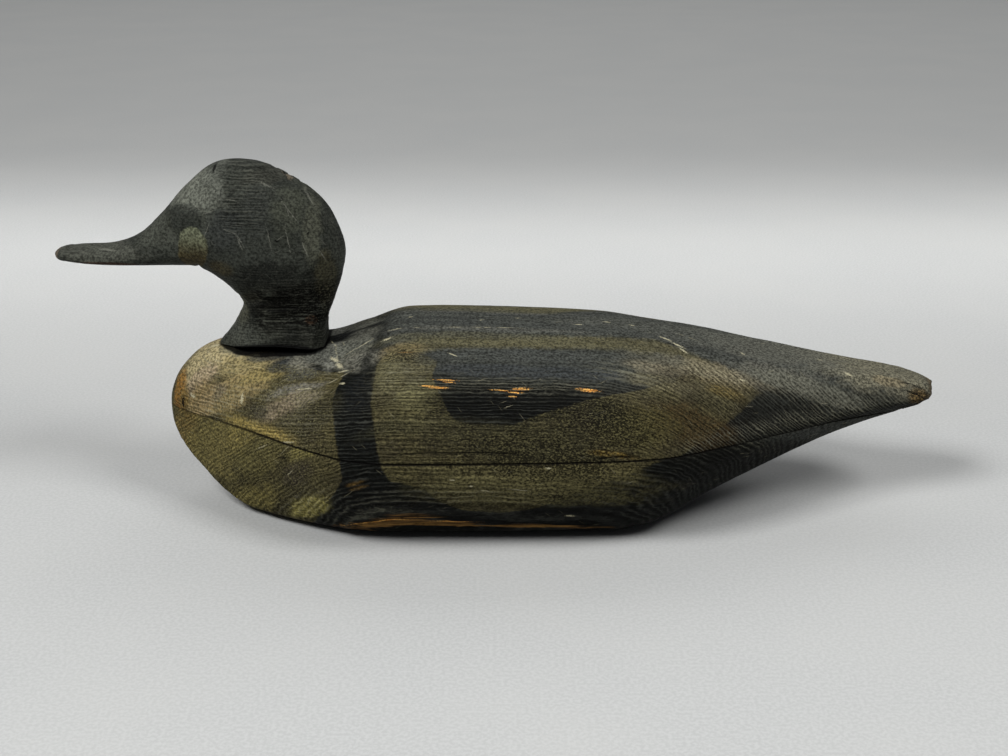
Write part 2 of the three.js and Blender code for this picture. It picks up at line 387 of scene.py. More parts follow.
def cloud(points, cell, seed):
    """Value noise from -1 to 1. Each axis is divided by its cell size, and the eight lattice values
    round a point are weighted by 3t^2 - 2t^3 along each axis."""
    values = np.random.default_rng(seed).uniform(-1, 1, (LATTICE,) * 3)
    scaled = points / np.asarray(cell, float) + 7.3 * seed
    base = np.floor(scaled).astype(int)
    t = scaled - base
    t = t * t * (3 - 2 * t)
    total = np.zeros(points.shape[:-1])
    for corner in itertools.product((0, 1), repeat=3):
        weight = np.prod(np.where(corner, t, 1 - t), axis=-1)
        i, j, k = np.moveaxis((base + corner) % LATTICE, -1, 0)
        total += weight * values[i, j, k]
    return total


def crest(ring):
    """Height of a growth ring's ridge, from 0 in the soft wood to 1 on the hard line: cosine of the
    ring count, raised a little so that the ridges are thinner than the valleys."""
    return (0.5 + 0.5 * np.cos(2 * np.pi * ring)) ** 2.4


def carried(ring):
    """1 where the grid is fine enough to carry the ridges, fading to 0 where a cell spans too much
    of a ring."""
    rows = np.abs(np.gradient(ring, axis=0))
    columns = np.abs(np.gradient(ring, axis=1))
    return 1 - smooth(np.maximum(rows, columns), 0.25, 0.45)


print("noise at three points:", cloud(np.eye(3) * 20, 5, 1).round(2).tolist())


# %% [markdown]
# ## Grids
#
# Each piece is one closed grid: rings of points follow one another along the piece, and two flat
# fans close its ends. The steps are short where the ridges are fine and long where nothing happens,
# which keeps each piece under 200,000 triangles.

# %% Grids and meshes
SPREAD_SAMPLES = 4001


def spread(knots, steps):
    """Places from the first knot to the last whose spacing follows the step wanted at each knot: the
    running total of 1/step is cut into equal parts."""
    fine = np.linspace(knots[0], knots[-1], SPREAD_SAMPLES)
    density = 1 / np.interp(fine, knots, steps)
    total = np.concatenate([[0], np.cumsum((density[1:] + density[:-1]) / 2 * np.diff(fine))])
    return np.interp(np.linspace(0, total[-1], int(round(total[-1])) + 1), total, fine)


def outward(grid, centre):
    """Unit normals of a grid of points: the cross product of its two directions, all turned the way
    that on average leads away from the centre."""
    normal = np.cross(np.gradient(grid, axis=0), np.gradient(grid, axis=1))
    normal = normal / np.maximum(np.linalg.norm(normal, axis=-1, keepdims=True), 1e-9)
    return normal * np.sign(np.mean(np.sum(normal * (grid - centre), axis=-1)))


def new_piece(name, rings, layers, material, node):
    """Closed mesh from a (rows, columns, 3) grid in mm whose columns run round the piece. Neighbours
    make quads, each end is a fan round its middle point, and the layers become attributes."""
    rows, columns = rings.shape[:2]
    ends = np.stack([rings[0].mean(0), rings[-1].mean(0)])
    points = np.concatenate([rings.reshape(-1, 3), ends]) * MM
    index = np.arange(rows * columns).reshape(rows, columns)
    a, b = index[:-1], np.roll(index, -1, axis=1)[:-1]
    quads = np.stack([a, b, b + columns, a + columns], -1).reshape(-1, 4)
    first, last = index[0], index[-1]
    fans = np.concatenate([
        np.stack([np.roll(first, -1), first, np.full(columns, rows * columns)], -1),
        np.stack([last, np.roll(last, -1), np.full(columns, rows * columns + 1)], -1)])
    corner = points[quads]
    volume = np.einsum("ij,ij->", corner[:, 0], np.cross(corner[:, 1], corner[:, 2]))
    volume += np.einsum("ij,ij->", corner[:, 0], np.cross(corner[:, 2], corner[:, 3]))
    if volume < 0:
        quads, fans = quads[:, ::-1], fans[:, ::-1]
    mesh = bpy.data.meshes.new(name)
    mesh.from_pydata(points.tolist(), [], quads.tolist() + fans.tolist())
    for layer, values in layers.items():
        kind, field = ("FLOAT", "value") if values.ndim == 2 else ("FLOAT_VECTOR", "vector")
        ends = [values[:1].mean(1), values[-1:].mean(1)]
        flat = np.concatenate([values.reshape(rows * columns, *values.shape[2:]), *ends])
        attribute = mesh.attributes.new(layer, kind, "POINT")
        attribute.data.foreach_set(field, flat.astype(np.float32).ravel())
    mesh.materials.append(material)
    mesh.polygons.foreach_set("use_smooth", np.ones(len(mesh.polygons), bool))
    mesh.update()
    piece = in_scene(name, mesh)
    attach(piece, "root")
    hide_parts(node)
    print(name, "has", 2 * len(quads) + len(fans), "triangles")
    return piece


print("a spread from steps of 1 to steps of 2:", spread([0, 10], [1, 2]).round(1).tolist())


# %% [markdown]
# ## Skin of a board
#
# A board is the body's skin down to the glued joint, and a flat face at the joint. Points on the skin
# are placed by girth: the distance in mm from the middle of the back, measured round the section.
# Girth and the distance along the bird together unroll the skin like a sheet of paper, and the paint
# is drawn on that sheet later.

# %% Skin of a board by girth
SECTION_SAMPLES = 1121
FOOT_EDGE = 5.95  # step of the section where the tail's flat underside begins
ROW_GAP = 1e4  # keeps the rows apart when they are read as one long line


def board_rings(x, near_shares, far_shares, joint, upper):
    """Rings of one board at each x. The girth of every column is its share of the way from the back
    to the joint (upper board) or from the joint to the keel (lower board). Returns the rings, the
    signed girth (minus on the near side) and the girth of the joint."""
    v = np.broadcast_to(np.linspace(0, LAST_CORNER, SECTION_SAMPLES), (len(x), SECTION_SAMPLES))
    outline = section_points(x, v)
    girth = np.concatenate([np.zeros((len(x), 1)),
                            np.cumsum(np.linalg.norm(np.diff(outline, axis=1), axis=-1), axis=1)], 1)
    shift = np.arange(len(x))[:, None] * ROW_GAP
    below = np.clip((outline[..., 1] > joint).sum(1), 1, SECTION_SAMPLES - 1)
    row = np.arange(len(x))
    high, low = outline[row, below - 1, 1], outline[row, below, 1]
    part = np.clip((high - joint) / np.maximum(high - low, 1e-9), 0, 1)
    at_joint = girth[row, below - 1] + part * (girth[row, below] - girth[row, below - 1])
    foot = girth[:, int(FOOT_EDGE / LAST_CORNER * (SECTION_SAMPLES - 1))]
    if upper:
        at_joint = np.minimum(at_joint, foot)
    start = np.zeros(len(x)) if upper else at_joint
    end = at_joint if upper else girth[:, -1]
    halves, reach = [], []
    for shares in (near_shares, far_shares):
        target = start[:, None] + (end - start)[:, None] * shares
        step = np.interp((target + shift).ravel(), (girth + shift).ravel(), v.ravel())
        halves.append(section_points(x, step.reshape(target.shape)))
        reach.append(target)
    near, far = halves
    near = np.stack([np.broadcast_to(x[:, None], near.shape[:2]), -near[..., 0], near[..., 1]], -1)
    far = np.stack([np.broadcast_to(x[:, None], far.shape[:2]), far[..., 0], far[..., 1]], -1)
    order = slice(None, None, -1) if upper else slice(None)
    back = slice(1, None) if upper else slice(-2, None, -1)
    rings = np.concatenate([near[:, order], far[:, back]], 1)
    signed = np.concatenate([-reach[0][:, order], reach[1][:, back]], 1)
    return rings, signed, at_joint


def close_at_joint(skin, columns):
    """Adds the flat joint face: columns evenly spaced from the far edge back to the near edge."""
    far, near = skin[:, -1:], skin[:, :1]
    share = (np.arange(1, columns + 1) / (columns + 1))[None, :, None]
    return np.concatenate([skin, far + (near - far) * share], 1)


def extend(layer, columns):
    """The same widening for a layer of numbers or of colours."""
    values = layer if layer.ndim == 3 else layer[..., None]
    return close_at_joint(values, columns).reshape(len(layer), -1, *layer.shape[2:])


sample = board_rings(np.array([0.0]), np.linspace(0, 1, 5), np.linspace(0, 1, 5), JOINT_HEIGHT, True)
print("girth from the middle of the back to the joint at mid body:", round(float(sample[2][0]), 1), "mm")


# %% [markdown]
# The breast and the end of the tail are rounded off in a quarter circle. Rows spaced evenly in x
# would leave big steps there, so they are spaced evenly by angle.

# %% Rows over the rounded ends
NOSE_START, TAIL_STOP = 0.02, 0.12  # part of each quarter circle left open for the end fan
UPPER_NOSE_ROWS, LOWER_NOSE_ROWS, TAIL_ROWS = 80, 86, 16


def nose_rows(count):
    angle = np.linspace(math.asin(NOSE_START), math.pi / 2, count + 1)[:-1]
    return NOSE_X + NOSE_ROUND * (1 - np.cos(angle))


def tail_rows(count):
    angle = np.linspace(math.pi / 2, math.asin(TAIL_STOP), count + 1)[1:]
    return TAIL_X - TAIL_ROUND * (1 - np.cos(angle))


ends = [nose_rows(UPPER_NOSE_ROWS)[0], tail_rows(TAIL_ROWS)[-1]]
print("first row over the nose and last over the tail:", np.round(ends, 2).tolist())


# %% [markdown]
# ## Growth rings
#
# The rings of a tree are nested tubes along the trunk, so across a board they are arcs, and where a
# carver's curve cuts them they show as contour lines. So the ring pattern is a number at every point
# in space, counted in rings, and the carved surface simply shows it. The lower board was cut so that
# its rings lie in slanting planes. In the upper board they curl round a heart above it. Slow noise
# makes the lines wander and fast noise makes them crinkle.

# %% Growth rings and the carved relief
RING_WIDTH, LOWER_RING_WIDTH = 1.6, 1.3
LOWER_SLANT = 0.95
HEART = (-25.0, 130.0)
TAPER, TAPER_START, TAPER_EASE = 0.82, 64.0, 12.0


def uneven(ring):
    """Wide and narrow years: the count runs faster and slower by two slow waves."""
    return ring + 0.26 * np.sin(0.9 * ring) + 0.13 * np.sin(2.3 * ring + 1)


def wander(points, seed):
    """Displacement of the ring lines in mm: a slow swing, a ripple and a fine crinkle."""
    return (1.3 * cloud(points, (110, 45, 45), seed) + 0.5 * cloud(points, (16, 8, 8), seed + 1)
            + 0.3 * cloud(points, (5, 2.4, 2.4), seed + 2))


def broken(points, seed):
    """Share of its height that a ridge keeps from place to place: it comes and goes along the grain."""
    return 0.3 + 0.7 * smooth(cloud(points, (9, 2.4, 2.4), seed), -0.45, 0.35)


def lower_rings(points):
    """(height + slant * y) over the distance between two slanting planes."""
    x, y, z = np.moveaxis(points, -1, 0)
    planes = (z + LOWER_SLANT * y) / math.hypot(1, LOWER_SLANT)
    return uneven((planes + wander(points, 11)) / LOWER_RING_WIDTH)


def upper_rings(points):
    """Distance to the heart line over the ring width, with the trunk's taper towards the tail as a
    soft ramp, e * log(1 + exp((x - start) / e))."""
    x, y, z = np.moveaxis(points, -1, 0)
    heart = HEART[1] - np.hypot(y - HEART[0], z - HEART[1])
    taper = TAPER * TAPER_EASE * np.logaddexp(0, (x - TAPER_START) / TAPER_EASE)
    return uneven((heart + taper + wander(points, 21)) / RING_WIDTH)


def dents(points, seed):
    """Knife and rasp marks in mm: wide shallow waves with smaller ones on them."""
    return (0.38 * cloud(points, (38, 20, 20), seed) + 0.14 * cloud(points, (13, 7, 7), seed + 1)
            + 0.05 * cloud(points, (5, 1.6, 1.6), seed + 2))


def ridges(points, ring, height, valley, seed):
    """Relief in mm of the growth rings: height * (crest - valley), broken along the grain."""
    return height * (crest(ring) - valley) * broken(points, seed) * carried(ring)


def near_line(x, girth, line, reach):
    """Distance in mm from the skin's unrolled points to a line drawn on it as [x, girth] points,
    and how far inside the line's ends each point lies (0 to 1 over the reach)."""
    knots, values = np.array(line, float).T
    gap = girth - np.interp(x, knots, values)
    inside = smooth(x, knots[0], knots[0] + reach) * (1 - smooth(x, knots[-1] - reach, knots[-1]))
    return gap, inside


sample = lower_rings(np.array([[0, 0, 0], [0, 0, JOINT_HEIGHT]]))
print("rings up the middle of the lower board:", round(float(sample[1] - sample[0]), 1))


# %% [markdown]
# ## Paint areas
#
# The paint follows outlines drawn on the unrolled skin. Each outline becomes a signed distance: how
# many millimetres a point lies inside it. A distance is worth more than a plain yes or no, because
# the material can fray the edge by adding noise to it, and areas combine by taking the smaller or
# the larger of two distances.

# %% Outlines of the paint, as [x, girth] in mm
BREAST = [(-154, -3), (-130, 3), (-118, 10), (-105, 21), (-88, 26), (-67, 37), (-71, 54), (-69, 70),
          (-67, 83), (-66, 92), (-69, 97), (-77, 105), (-80, 113), (-85, 122), (-95, 140), (-154, 140)]
FLANK = [(-53, 39), (-54, 64), (-51, 84), (-49, 94), (-46, 101), (-31, 106), (-27, 113), (-16, 121),
         (0, 122.5), (13, 119), (27, 110.5), (41, 100.5), (57, 91.5), (68, 84.5), (75, 81), (80, 76),
         (88, 68), (102, 51.5), (112, 37.5), (106, 33), (97, 28), (80, 21), (70, 15.5), (43, 20),
         (0, 24), (-35, 25), (-43, 30), (-49, 34)]
WING = [(-25, 64), (-22, 71), (-19, 75), (-12, 76.6), (0, 76.5), (6, 76), (16, 71.5), (29, 66.5),
        (41, 62), (52, 58), (68, 50), (81, 36), (78, 27), (52, 28), (26, 30), (0, 31), (-26, 33),
        (-33, 36), (-27, 43), (-29, 54)]
FAR_LIFT = 16.0  # how much higher the lines sit on the back's far side, which shows over its middle


def inside_by(x, girth, outline):
    """Signed distance to a closed outline, positive inside. The size is the least distance to an
    edge, |p - a - t(b - a)| with t from 0 to 1, and the sign comes from counting the edges crossed
    by a ray."""
    least, inside = np.full(x.shape, np.inf), np.zeros(x.shape, bool)
    for (ax, ag), (bx, bg) in zip(outline, outline[1:] + outline[:1]):
        run, rise = bx - ax, bg - ag
        t = np.clip(((x - ax) * run + (girth - ag) * rise) / (run * run + rise * rise), 0, 1)
        least = np.minimum(least, np.hypot(x - ax - t * run, girth - ag - t * rise))
        crosses = (ag > girth) != (bg > girth)
        reach = ax + (girth - ag) * run / (rise if rise else 1e-9)
        inside ^= crosses & (x < reach)
    return np.where(inside, least, -least)


def drawn(x, girth):
    """Girth as the painter drew it. On the far side the lines sit higher on the back, by
    h * exp(-(g / 30)^2) from a few millimetres off the middle on, and no more towards the tail."""
    lift = FAR_LIFT * (1 - smooth(x, 15, 60))
    return np.abs(girth) + lift * np.exp(-(girth / 30) ** 2) * smooth(girth, 0, 6)


def olive_by(points, girth):
    """How far a point lies inside the olive paint: breast, or flank but not wing."""
    x = points[..., 0]
    size = drawn(x, girth)
    worn = 3.5 * smooth(x, 40, 75) * (1 - smooth(size, 50, 62))
    wing = inside_by(x, size, WING) - worn * cloud(points, 5, 31)
    return np.maximum(np.minimum(inside_by(x, size, FLANK), -wing), inside_by(x, size, BREAST))


sample = inside_by(np.array([10.0]), np.array([95.0]), FLANK)
print("a point low on the flank lies", sample.round(1).tolist(), "mm inside its outline")


# %% [markdown]
# ## Stains and smears
#
# The stains are the bird's own history, so they are tables, but for a few that are painted light and
# shade: a lighter spot beside the neck where its shadow falls, and a darker neck under the head, black
# paint with painted shade. Each has a centre, a reach, a colour and a strength, on the unrolled skin
# or, for the head, on a plain side view. The breast has been handled most: tan and grey smears and an
# orange worn tip. The lower board has been scraped along its chine, where bare wood shows in a long
# strip. Stains are soft, so the points of the mesh carry them well, and the material only adds what is
# finer.

# %% Stains, rubbed ridges and painted glints, bare wood and crackle
UPPER_STAINS_AND_PAINTED_LIGHT = [  # centre [x, girth], reach, colour, strength
    ((-92, 20), (13, 6), "3c3f3e", .8), ((-128, 9), (16, 13), "968a68", .95),
    ((-112, 20), (14, 8), "7f7350", .9), ((-118, 33), (16, 8), "7c6d4a", .85),
    ((-133, 19), (8, 5), "8a7a64", .8), ((-104, 29), (10, 4), "776a42", .8),
    ((-88, 41), (14, 3.5), "5f5d57", .85), ((-91, 48), (14, 5.5), "6b6050", .9),
    ((-119, 10), (8, 3), "45463f", .6), ((-113, 13), (7, 2.6), "35373a", .8),
    ((-104, 18), (8, 3.2), "26292b", .85), ((-95, 25), (8, 4), "2a2c2c", .9),
    ((-86, 32), (8, 4.5), "3a3b38", .8), ((-128, 30), (7, 4), "5f564a", .7),
    ((-134, 30), (8, 9), "83704c", .7), ((-106, 47), (6, 5), "2f2d26", .8),
    ((-77, 57), (11, 8), "252319", .9), ((-90, 55), (8, 3.5), "38352a", .8),
    ((-145, 12), (4, 7), "7a5622", .9), ((-144, 21), (4, 6), "6c5428", .85),
    ((-82, 47), (8, 5), "5c5849", .6), ((-43, 33), (11, 6), "5c5238", .8),
    ((-35, 58), (6, 8), "35342a", .75), ((-30, 40), (7, 5), "2a2c2a", .7),
    # The first stain of the next line lightens the deck beside the neck: painted light against the
    # neck's shadow.
    ((-86, 23), (7, 6), "6a685c", .7), ((-74, 20), (5, 12), "66665e", .85),
    ((-65, 20), (10, 10), "55564e", .85), ((-80, 18), (7, 8), "4a4b45", .8),
    ((-60, 56), (6, 13), "0f1113", .9), ((-61, 32), (9, 8), "5e5d54", .8),
    ((-58, 36), (2.5, 8), "1a1b1a", .8), ((-61, 10), (9, 8), "4e4e46", .8),
    ((-42, 70), (8, 10), "3f3c26", .4), ((-34, 64), (10, 8), "57543a", .8),
    ((-22, 77), (34, 5), "2c2b1e", .7), ((6, 82), (44, 8), "1b1a11", .85),
    ((24, 91), (30, 6), "343222", .6), ((82, 66), (22, 10), "2a2010", 1.0),
    ((66, 48), (14, 5), "5a5540", .8), ((90, 35), (20, 9), "4f4734", .9),
    ((66, 37), (14, 5), "655f4e", .85), ((92, 32), (26, 6), "6a6452", .8),
    ((62, 70), (14, 8), "302b15", .75), ((96, 44), (9, 4), "4d4121", .7),
    ((52, 76), (12, 8), "25230f", .6), ((47, 86), (10, 1.6), "55451e", .85),
    ((66, 30), (16, 5), "4d4c42", .7), ((168, 6), (34, 14), "625f50", .95),
    ((120, 6), (36, 12), "52524a", .8), ((122, 25), (20, 6), "4f4e46", .8),
    ((134, 27), (28, 5), "56564c", .8), ((60, 6), (36, 9), "4a4b45", .6),
    ((20, 11), (56, 5), "343634", .55), ((-4, 17), (48, 1.8), "4c4c46", .7),
    ((2, 25), (60, 5), "474535", .7), ((190, 19), (7, 7), "5a492c", .9),
    ((196, 12), (3, 16), "4d4230", .8), ((186, 28), (8, 3.5), "18130d", .85),
    ((174, 13), (8, 3), "69604b", .7), ((10, 36), (44, 5), "3b3d3a", .8),
    ((10, 48), (44, 5), "2e3133", .8), ((10, 67), (44, 10), "050607", .95),
    ((76, 44), (10, 10), "3f3a2c", .5), ((150, 41), (42, 8), "121311", .8),
    ((130, 52), (50, 8), "0d0d0c", .7), ((-47, 50), (6, 15), "58553c", .5)]
# Crests painted paler: worn paint, and on the shoulder and rear flank painted glints of the light on the
# ridges.
UPPER_RUBS_AND_GLINTS = [((58, 43), (16, 7), .8), ((84, 36), (18, 8), .5), ((130, 30), (34, 7), .4),
              ((-72, 34), (7, 6), .5), ((-126, 36), (16, 8), .8), ((-46, 50), (10, 14), .5),
              ((-100, 42), (16, 9), .3), ((8, 57), (42, 5), .5), ((-124, 12), (20, 14), .5),
              ((-82, 62), (14, 8), .3)]
UPPER_BARE = [((-147, 20), (3, 10), .75), ((-41, 36), (6, 2), .5)]
LOWER_STAINS = [
    ((-143, 34), (10, 16), "60502c", .8), ((-128, 52), (18, 20), "665d37", .8),
    ((-113, 54), (8, 6), "6d6238", .7), ((-87, 81), (8, 6), "28231f", .85),
    ((-83, 71), (8, 4), "6a6339", .7), ((-83, 103), (10, 8), "857d46", .9),
    ((-106, 66), (14, 10), "56502f", .6), ((-112, 90), (14, 10), "6b6238", .7),
    ((20, 97), (50, 7), "544f35", .6), ((10, 107), (50, 9), "5a5538", .6),
    ((48, 91), (12, 6), "544e32", .5), ((20, 128), (74, 8), "090a0a", .85),
    ((-60, 96.5), (4.5, 1), "5c4826", .8), ((-59, 99.6), (4, .9), "5c4826", .7),
    ((120, 80), (60, 22), "080908", .85), ((-50, 112), (10, 14), "0c0e0f", .8)]
LOWER_RUBS = [((-85, 102), (13, 10), .6), ((-20, 110), (40, 6), .4), ((95, 62), (20, 6), .4),
              ((-55, 116), (20, 8), .4)]
LOWER_BARE = [((-48, 129.8), (24, 7), 1.0), ((-24, 133.4), (24, 3.2), 1.0), ((14, 134.4), (34, 2), .9),
              ((-70, 124), (8, 3), .6)]
SPECKLED = [  # centre [x, girth], reach, how much the crackle takes the place of the ridges
    ((20, 92), (44, 13), 1.0), ((44, 74), (20, 12), .9), ((30, 110), (22, 10), .8),
    ((72, 40), (18, 8), .8), ((-86, 78), (10, 9), .4), ((-42, 38), (9, 6), .8), ((-6, 84), (16, 6), .7),
    ((190, 18), (9, 9), 1.2)]
HEAD_STAINS_AND_PAINTED_SHADE = [  # centre [x, height], reach, colour, strength
    ((-134, 146), (12, 9), "5a5c53", .9), ((-124, 140), (8, 8), "4b4d45", .8),
    ((-148, 128), (13, 8), "40423b", .8), ((-136, 134), (8, 6), "23251f", .8),
    ((-117, 130), (8, 9), "2e302f", .9), ((-104, 138), (7, 12), "2c2e2b", .8),
    ((-175, 117), (20, 5), "42433c", .85), ((-90, 138), (9, 9), "373930", .8),
    ((-81, 128), (4, 14), "44453a", .7), ((-100, 152), (12, 3), "33322b", .4),
    ((-121, 113), (6, 4), "352f1e", .8), ((-108, 120), (14, 7), "2a2c28", .8),
    # The next three stains darken the neck under the head: black paint, and painted shade where the head
    # overhangs it.
    ((-98, 109), (18, 8), "10110f", .9), ((-100, 97), (20, 7), "0a0b09", .9),
    ((-88, 99), (16, 8), "050605", 1.0), ((-98, 86), (14, 4), "2a2b27", .6),
    ((-115, 92), (4, 9), "434337", .8), ((-108, 100), (6, 3), "2c2a20", .6),
    ((-175, 112), (18, 1.6), "3a2519", .8), ((-83, 89), (2.6, 2), "402919", .8),
    ((-112, 81), (10, 6), "3e403a", .9), ((-90, 80), (10, 5), "191a17", .85),
    ((-76, 106), (4, 14), "3b3829", .7), ((-92, 126), (6, 5), "1f211c", .7)]


print("stains:", len(UPPER_STAINS_AND_PAINTED_LIGHT), "on the upper board,", len(LOWER_STAINS), "on the lower,",
      len(HEAD_STAINS_AND_PAINTED_SHADE), "on the head")


# %% [markdown]
# A spot is a soft hill of the tables' reach. Spots that do the same thing are joined by taking the
# strongest, and stains are laid one over another in the order of their table, as smears were.

# %% Spots and smears
def soft_spot(x, girth, centre, reach):
    """exp(-((x - cx) / rx)^2 - ((g - cg) / rg)^2)."""
    return np.exp(-((x - centre[0]) / reach[0]) ** 2 - ((girth - centre[1]) / reach[1]) ** 2)


def strongest(x, girth, spots):
    """The strongest of a table of spots: centre, reach and amount."""
    hills = [amount * soft_spot(x, girth, centre, reach) for centre, reach, amount in spots]
    return np.max(hills, axis=0)


def laid_over(keep, add, mask, code):
    """A stain over those laid before, where m is its mask and c its colour: keep * (1 - m), and
    add * (1 - m) + c * m."""
    cover = mask[..., None]
    return keep * (1 - mask), add * (1 - cover) + np.array(linear(code)[:3]) * cover


def smeared(points, x, girth, stains, seed):
    """Stains laid one over another: the share of the paint below that still shows, and the colour
    the stains add. Noise and a smooth step give each stain a ragged edge."""
    rough = 1 + 0.35 * cloud(points, (9, 5, 5), seed) + 0.35 * cloud(points, (2.6, 1.5, 1.5), seed + 1)
    keep, add = np.ones(x.shape), np.zeros((*x.shape, 3))
    for centre, reach, code, strength in stains:
        mask = strength * smooth(rough * soft_spot(x, girth, centre, reach), 0.16, 0.66)
        keep, add = laid_over(keep, add, mask, code)
    return keep, add


sample = strongest(np.array([-24.0]), np.array([133.4]), LOWER_BARE)
print("bare wood at the middle of the chine's strip:", sample.round(2).tolist())


# %% [markdown]
# Weather has not worn the bird evenly. Rain and hands reach the flanks, the shoulders and the sides
# of the tail, where the soft wood is gone and the ridges are sharp. The deck and the top of the
# breast are still nearly smooth. One number for each point says how far the wear has gone, and both
# the carved relief and the paint use it.

# %% Wear
def wear(points, girth):
    """How worn the wood is, from 0 to 1: a base by girth at mid body, changed towards the breast and
    the tail by smooth steps."""
    x, size = points[..., 0], np.abs(girth)
    amount = 0.12 + 0.2 * smooth(size, 22, 34) + 0.68 * smooth(size, 44, 60)
    shoulder = np.interp(x, [60, 100, 140, 180], [27, 31, 24, 15])
    rear = 0.16 + 0.84 * smooth(size, shoulder - 5, shoulder + 6)
    amount += (rear - amount) * smooth(x, 46, 72)
    front = 0.1 + 0.75 * smooth(size, 44, 58) * (0.7 + 0.3 * smooth(x, -130, -100))
    amount += (front - amount) * (1 - smooth(x, -84, -68))
    nose = 0.65 * smooth(size, 12, 26)
    amount += (nose - amount) * (1 - smooth(x, -134, -118)) * (1 - smooth(size, 40, 60))
    return amount * (0.86 + 0.14 * cloud(points, (30, 12, 12), 33))


sample = wear(np.array([[0, -5, 85], [0, -74, 60.0]]), np.array([5.0, 80.0]))
print("wear on the deck and on the flank at mid body:", sample.round(2).tolist())


# %% [markdown]
# A board's material reads all of this from its mesh, as layers: the ring count, the paint's
# distances, the stains, the wear and the rest. The same function works them out for both boards.

# %% Layers of a board
TAIL_CORNER = [(72, 80), (80, 75), (96, 64), (112, 54), (128, 44), (145, 36), (160, 28), (175, 22)]
CORNER_REACH = 3.5
JOINT_COLUMNS = 10  # columns of points on the flat face at the joint


def along_corner(x, size):
    """Rubbing along the corner where the top of the tail turns into its side."""
    knots, girths = np.array(TAIL_CORNER, float).T
    across = np.exp(-((size - np.interp(x, knots, girths)) / CORNER_REACH) ** 2)
    return smooth(x, 68, 82) * (1 - smooth(x, 160, 185)) * across


def board_maps(points, girth, ring, seam_gap, worn, cut, stains, rubs_and_glints, bare_spots, seam_tint):
    """Layers of one board that its material reads, widened by the joint face, which is no skin. The
    edge over the joint is paler on the breast."""
    x = points[..., 0]
    size = drawn(x, girth)
    edge = seam_tint * np.exp(-((seam_gap - 2.4) / 2.6) ** 2)
    edge = edge * smooth(x, -128, -112) * (1 - smooth(x, -95, -82))
    keep, add = laid_over(*smeared(points, x, size, stains, 71), edge, "8c7b45")
    rubbed = np.maximum(strongest(x, size, rubs_and_glints), 0.55 * along_corner(x, size))
    # The layer of cuts darkens the crack and the groove. On the upper board it also holds the painted
    # shade under the neck's foot.
    layers = {"ring": ring, "girth": girth, "olive": olive_by(points, girth), "seam": seam_gap,
              "wear": worn, "keep": keep, "stain": add, "rubbed": rubbed,
              "bare": strongest(x, size, bare_spots), "speckled": strongest(x, size, SPECKLED),
              "skin": np.ones(girth.shape), "cut": cut}
    layers = {name: extend(values, JOINT_COLUMNS) for name, values in layers.items()}
    layers["skin"][:, girth.shape[1]:] = 0
    return layers


print("the tail's corner runs from", TAIL_CORNER[0][0], "to", TAIL_CORNER[-1][0], "mm")

# %% [markdown]
# ## Upper board
#
# The upper board carries the neck's seat, the flat deck and the sloping shoulders, and its end is
# the whole tail. Besides the rings it has what time did to it: a drying crack runs along the flank
# just above the joint, the edges of the joint have crumbled, and the end grain of the tail has
# rotted into pits.

# %% Upper board
UPPER_JOINT = JOINT_HEIGHT + GAP / 2
# A drying crack and a groove, drawn as [x, girth] on the near side.
CRACK = [(-46, 90.2), (-38, 89.3), (-30, 88.9), (-18, 88.8), (-5, 88.3), (4, 88.4), (12, 87.8)]
GROOVE = [(34, 90.2), (42, 88.2), (50, 86.6), (60, 85.4)]
SEAT_FRONT, SEAT_BACK, SEAT_HEIGHT = -131, -77.5, 74.6
SEAT_EDGE, SEAT_CLEAR = 0.06, 0.15  # two rows close together make the seat's back a sharp step
NECK_MIDDLE, NECK_HALF_LENGTH, NECK_HALF_WIDTH = -102.2, 24.3, 17.6
RIDGE_HEIGHT, TAIL_RIDGE_EXTRA = 0.24, 0.2
RIDGE_BASE = 0.35  # part of a ridge's height that lies below the drawn skin
CRUMBLE, CRUMBLE_REACH, CUT_DEPTH, END_GRAIN_LOSS = 0.16, 0.6, 0.6, 0.7
UPPER_CENTRE = (0, 0, 52)


def shares_of(knots, steps):
    """Column places as shares of the way, from a spread in mm at mid body."""
    places = spread(knots, steps)
    return places / places[-1]


mid_rows = spread([-118.8, -84, -70, -50, 40, 62, 110, 184],
                  [.64, .66, .8, 2.1, 2.1, .95, .75, .85])
x = np.concatenate([nose_rows(UPPER_NOSE_ROWS), mid_rows, tail_rows(TAIL_ROWS)])
seat_step = [SEAT_BACK - SEAT_EDGE, SEAT_BACK + SEAT_EDGE]
x = np.unique(np.concatenate([x[np.abs(x - SEAT_BACK) > SEAT_CLEAR], seat_step]))
near = shares_of([0, 16, 24, 56, 64, 93], [1.6, 1.2, .8, .5, .42, .4])
far = shares_of([0, 16, 24, 56, 64, 93], [2.2, 1.7, 1.4, 1.1, .85, .8])
skin, girth, joint_girth = board_rings(x, near, far, UPPER_JOINT, upper=True)
size = np.abs(girth)
long = skin[..., 0]
seam_gap = joint_girth[:, None] - size

ring = upper_rings(skin)
worn = wear(skin, girth)
tail_side = smooth(long, 78, 105) * worn
smoother = 1 - 0.75 * np.clip(strongest(long, size, SPECKLED), 0, 1)
ridge_height = (RIDGE_HEIGHT + TAIL_RIDGE_EXTRA * tail_side) * worn * smoother
relief = ridges(skin, ring, ridge_height, RIDGE_BASE, 40)
relief += 0.12 * worn * cloud(skin, (6, 1.8, 1.8), 41) + dents(skin, 43)
relief -= CRUMBLE * (1 + cloud(skin, (7, 7, 7), 45)) * np.exp(-seam_gap / CRUMBLE_REACH)
cut = np.zeros(size.shape)
for line, half_width in ((CRACK, 0.3), (GROOVE, 0.5)):
    gap, inside = near_line(long, size + 0.3 * cloud(skin, (6, 3, 3), 46), line, 8)
    cut = np.maximum(cut, inside * np.exp(-(gap / half_width) ** 2))
cut *= girth < 0
relief -= CUT_DEPTH * cut
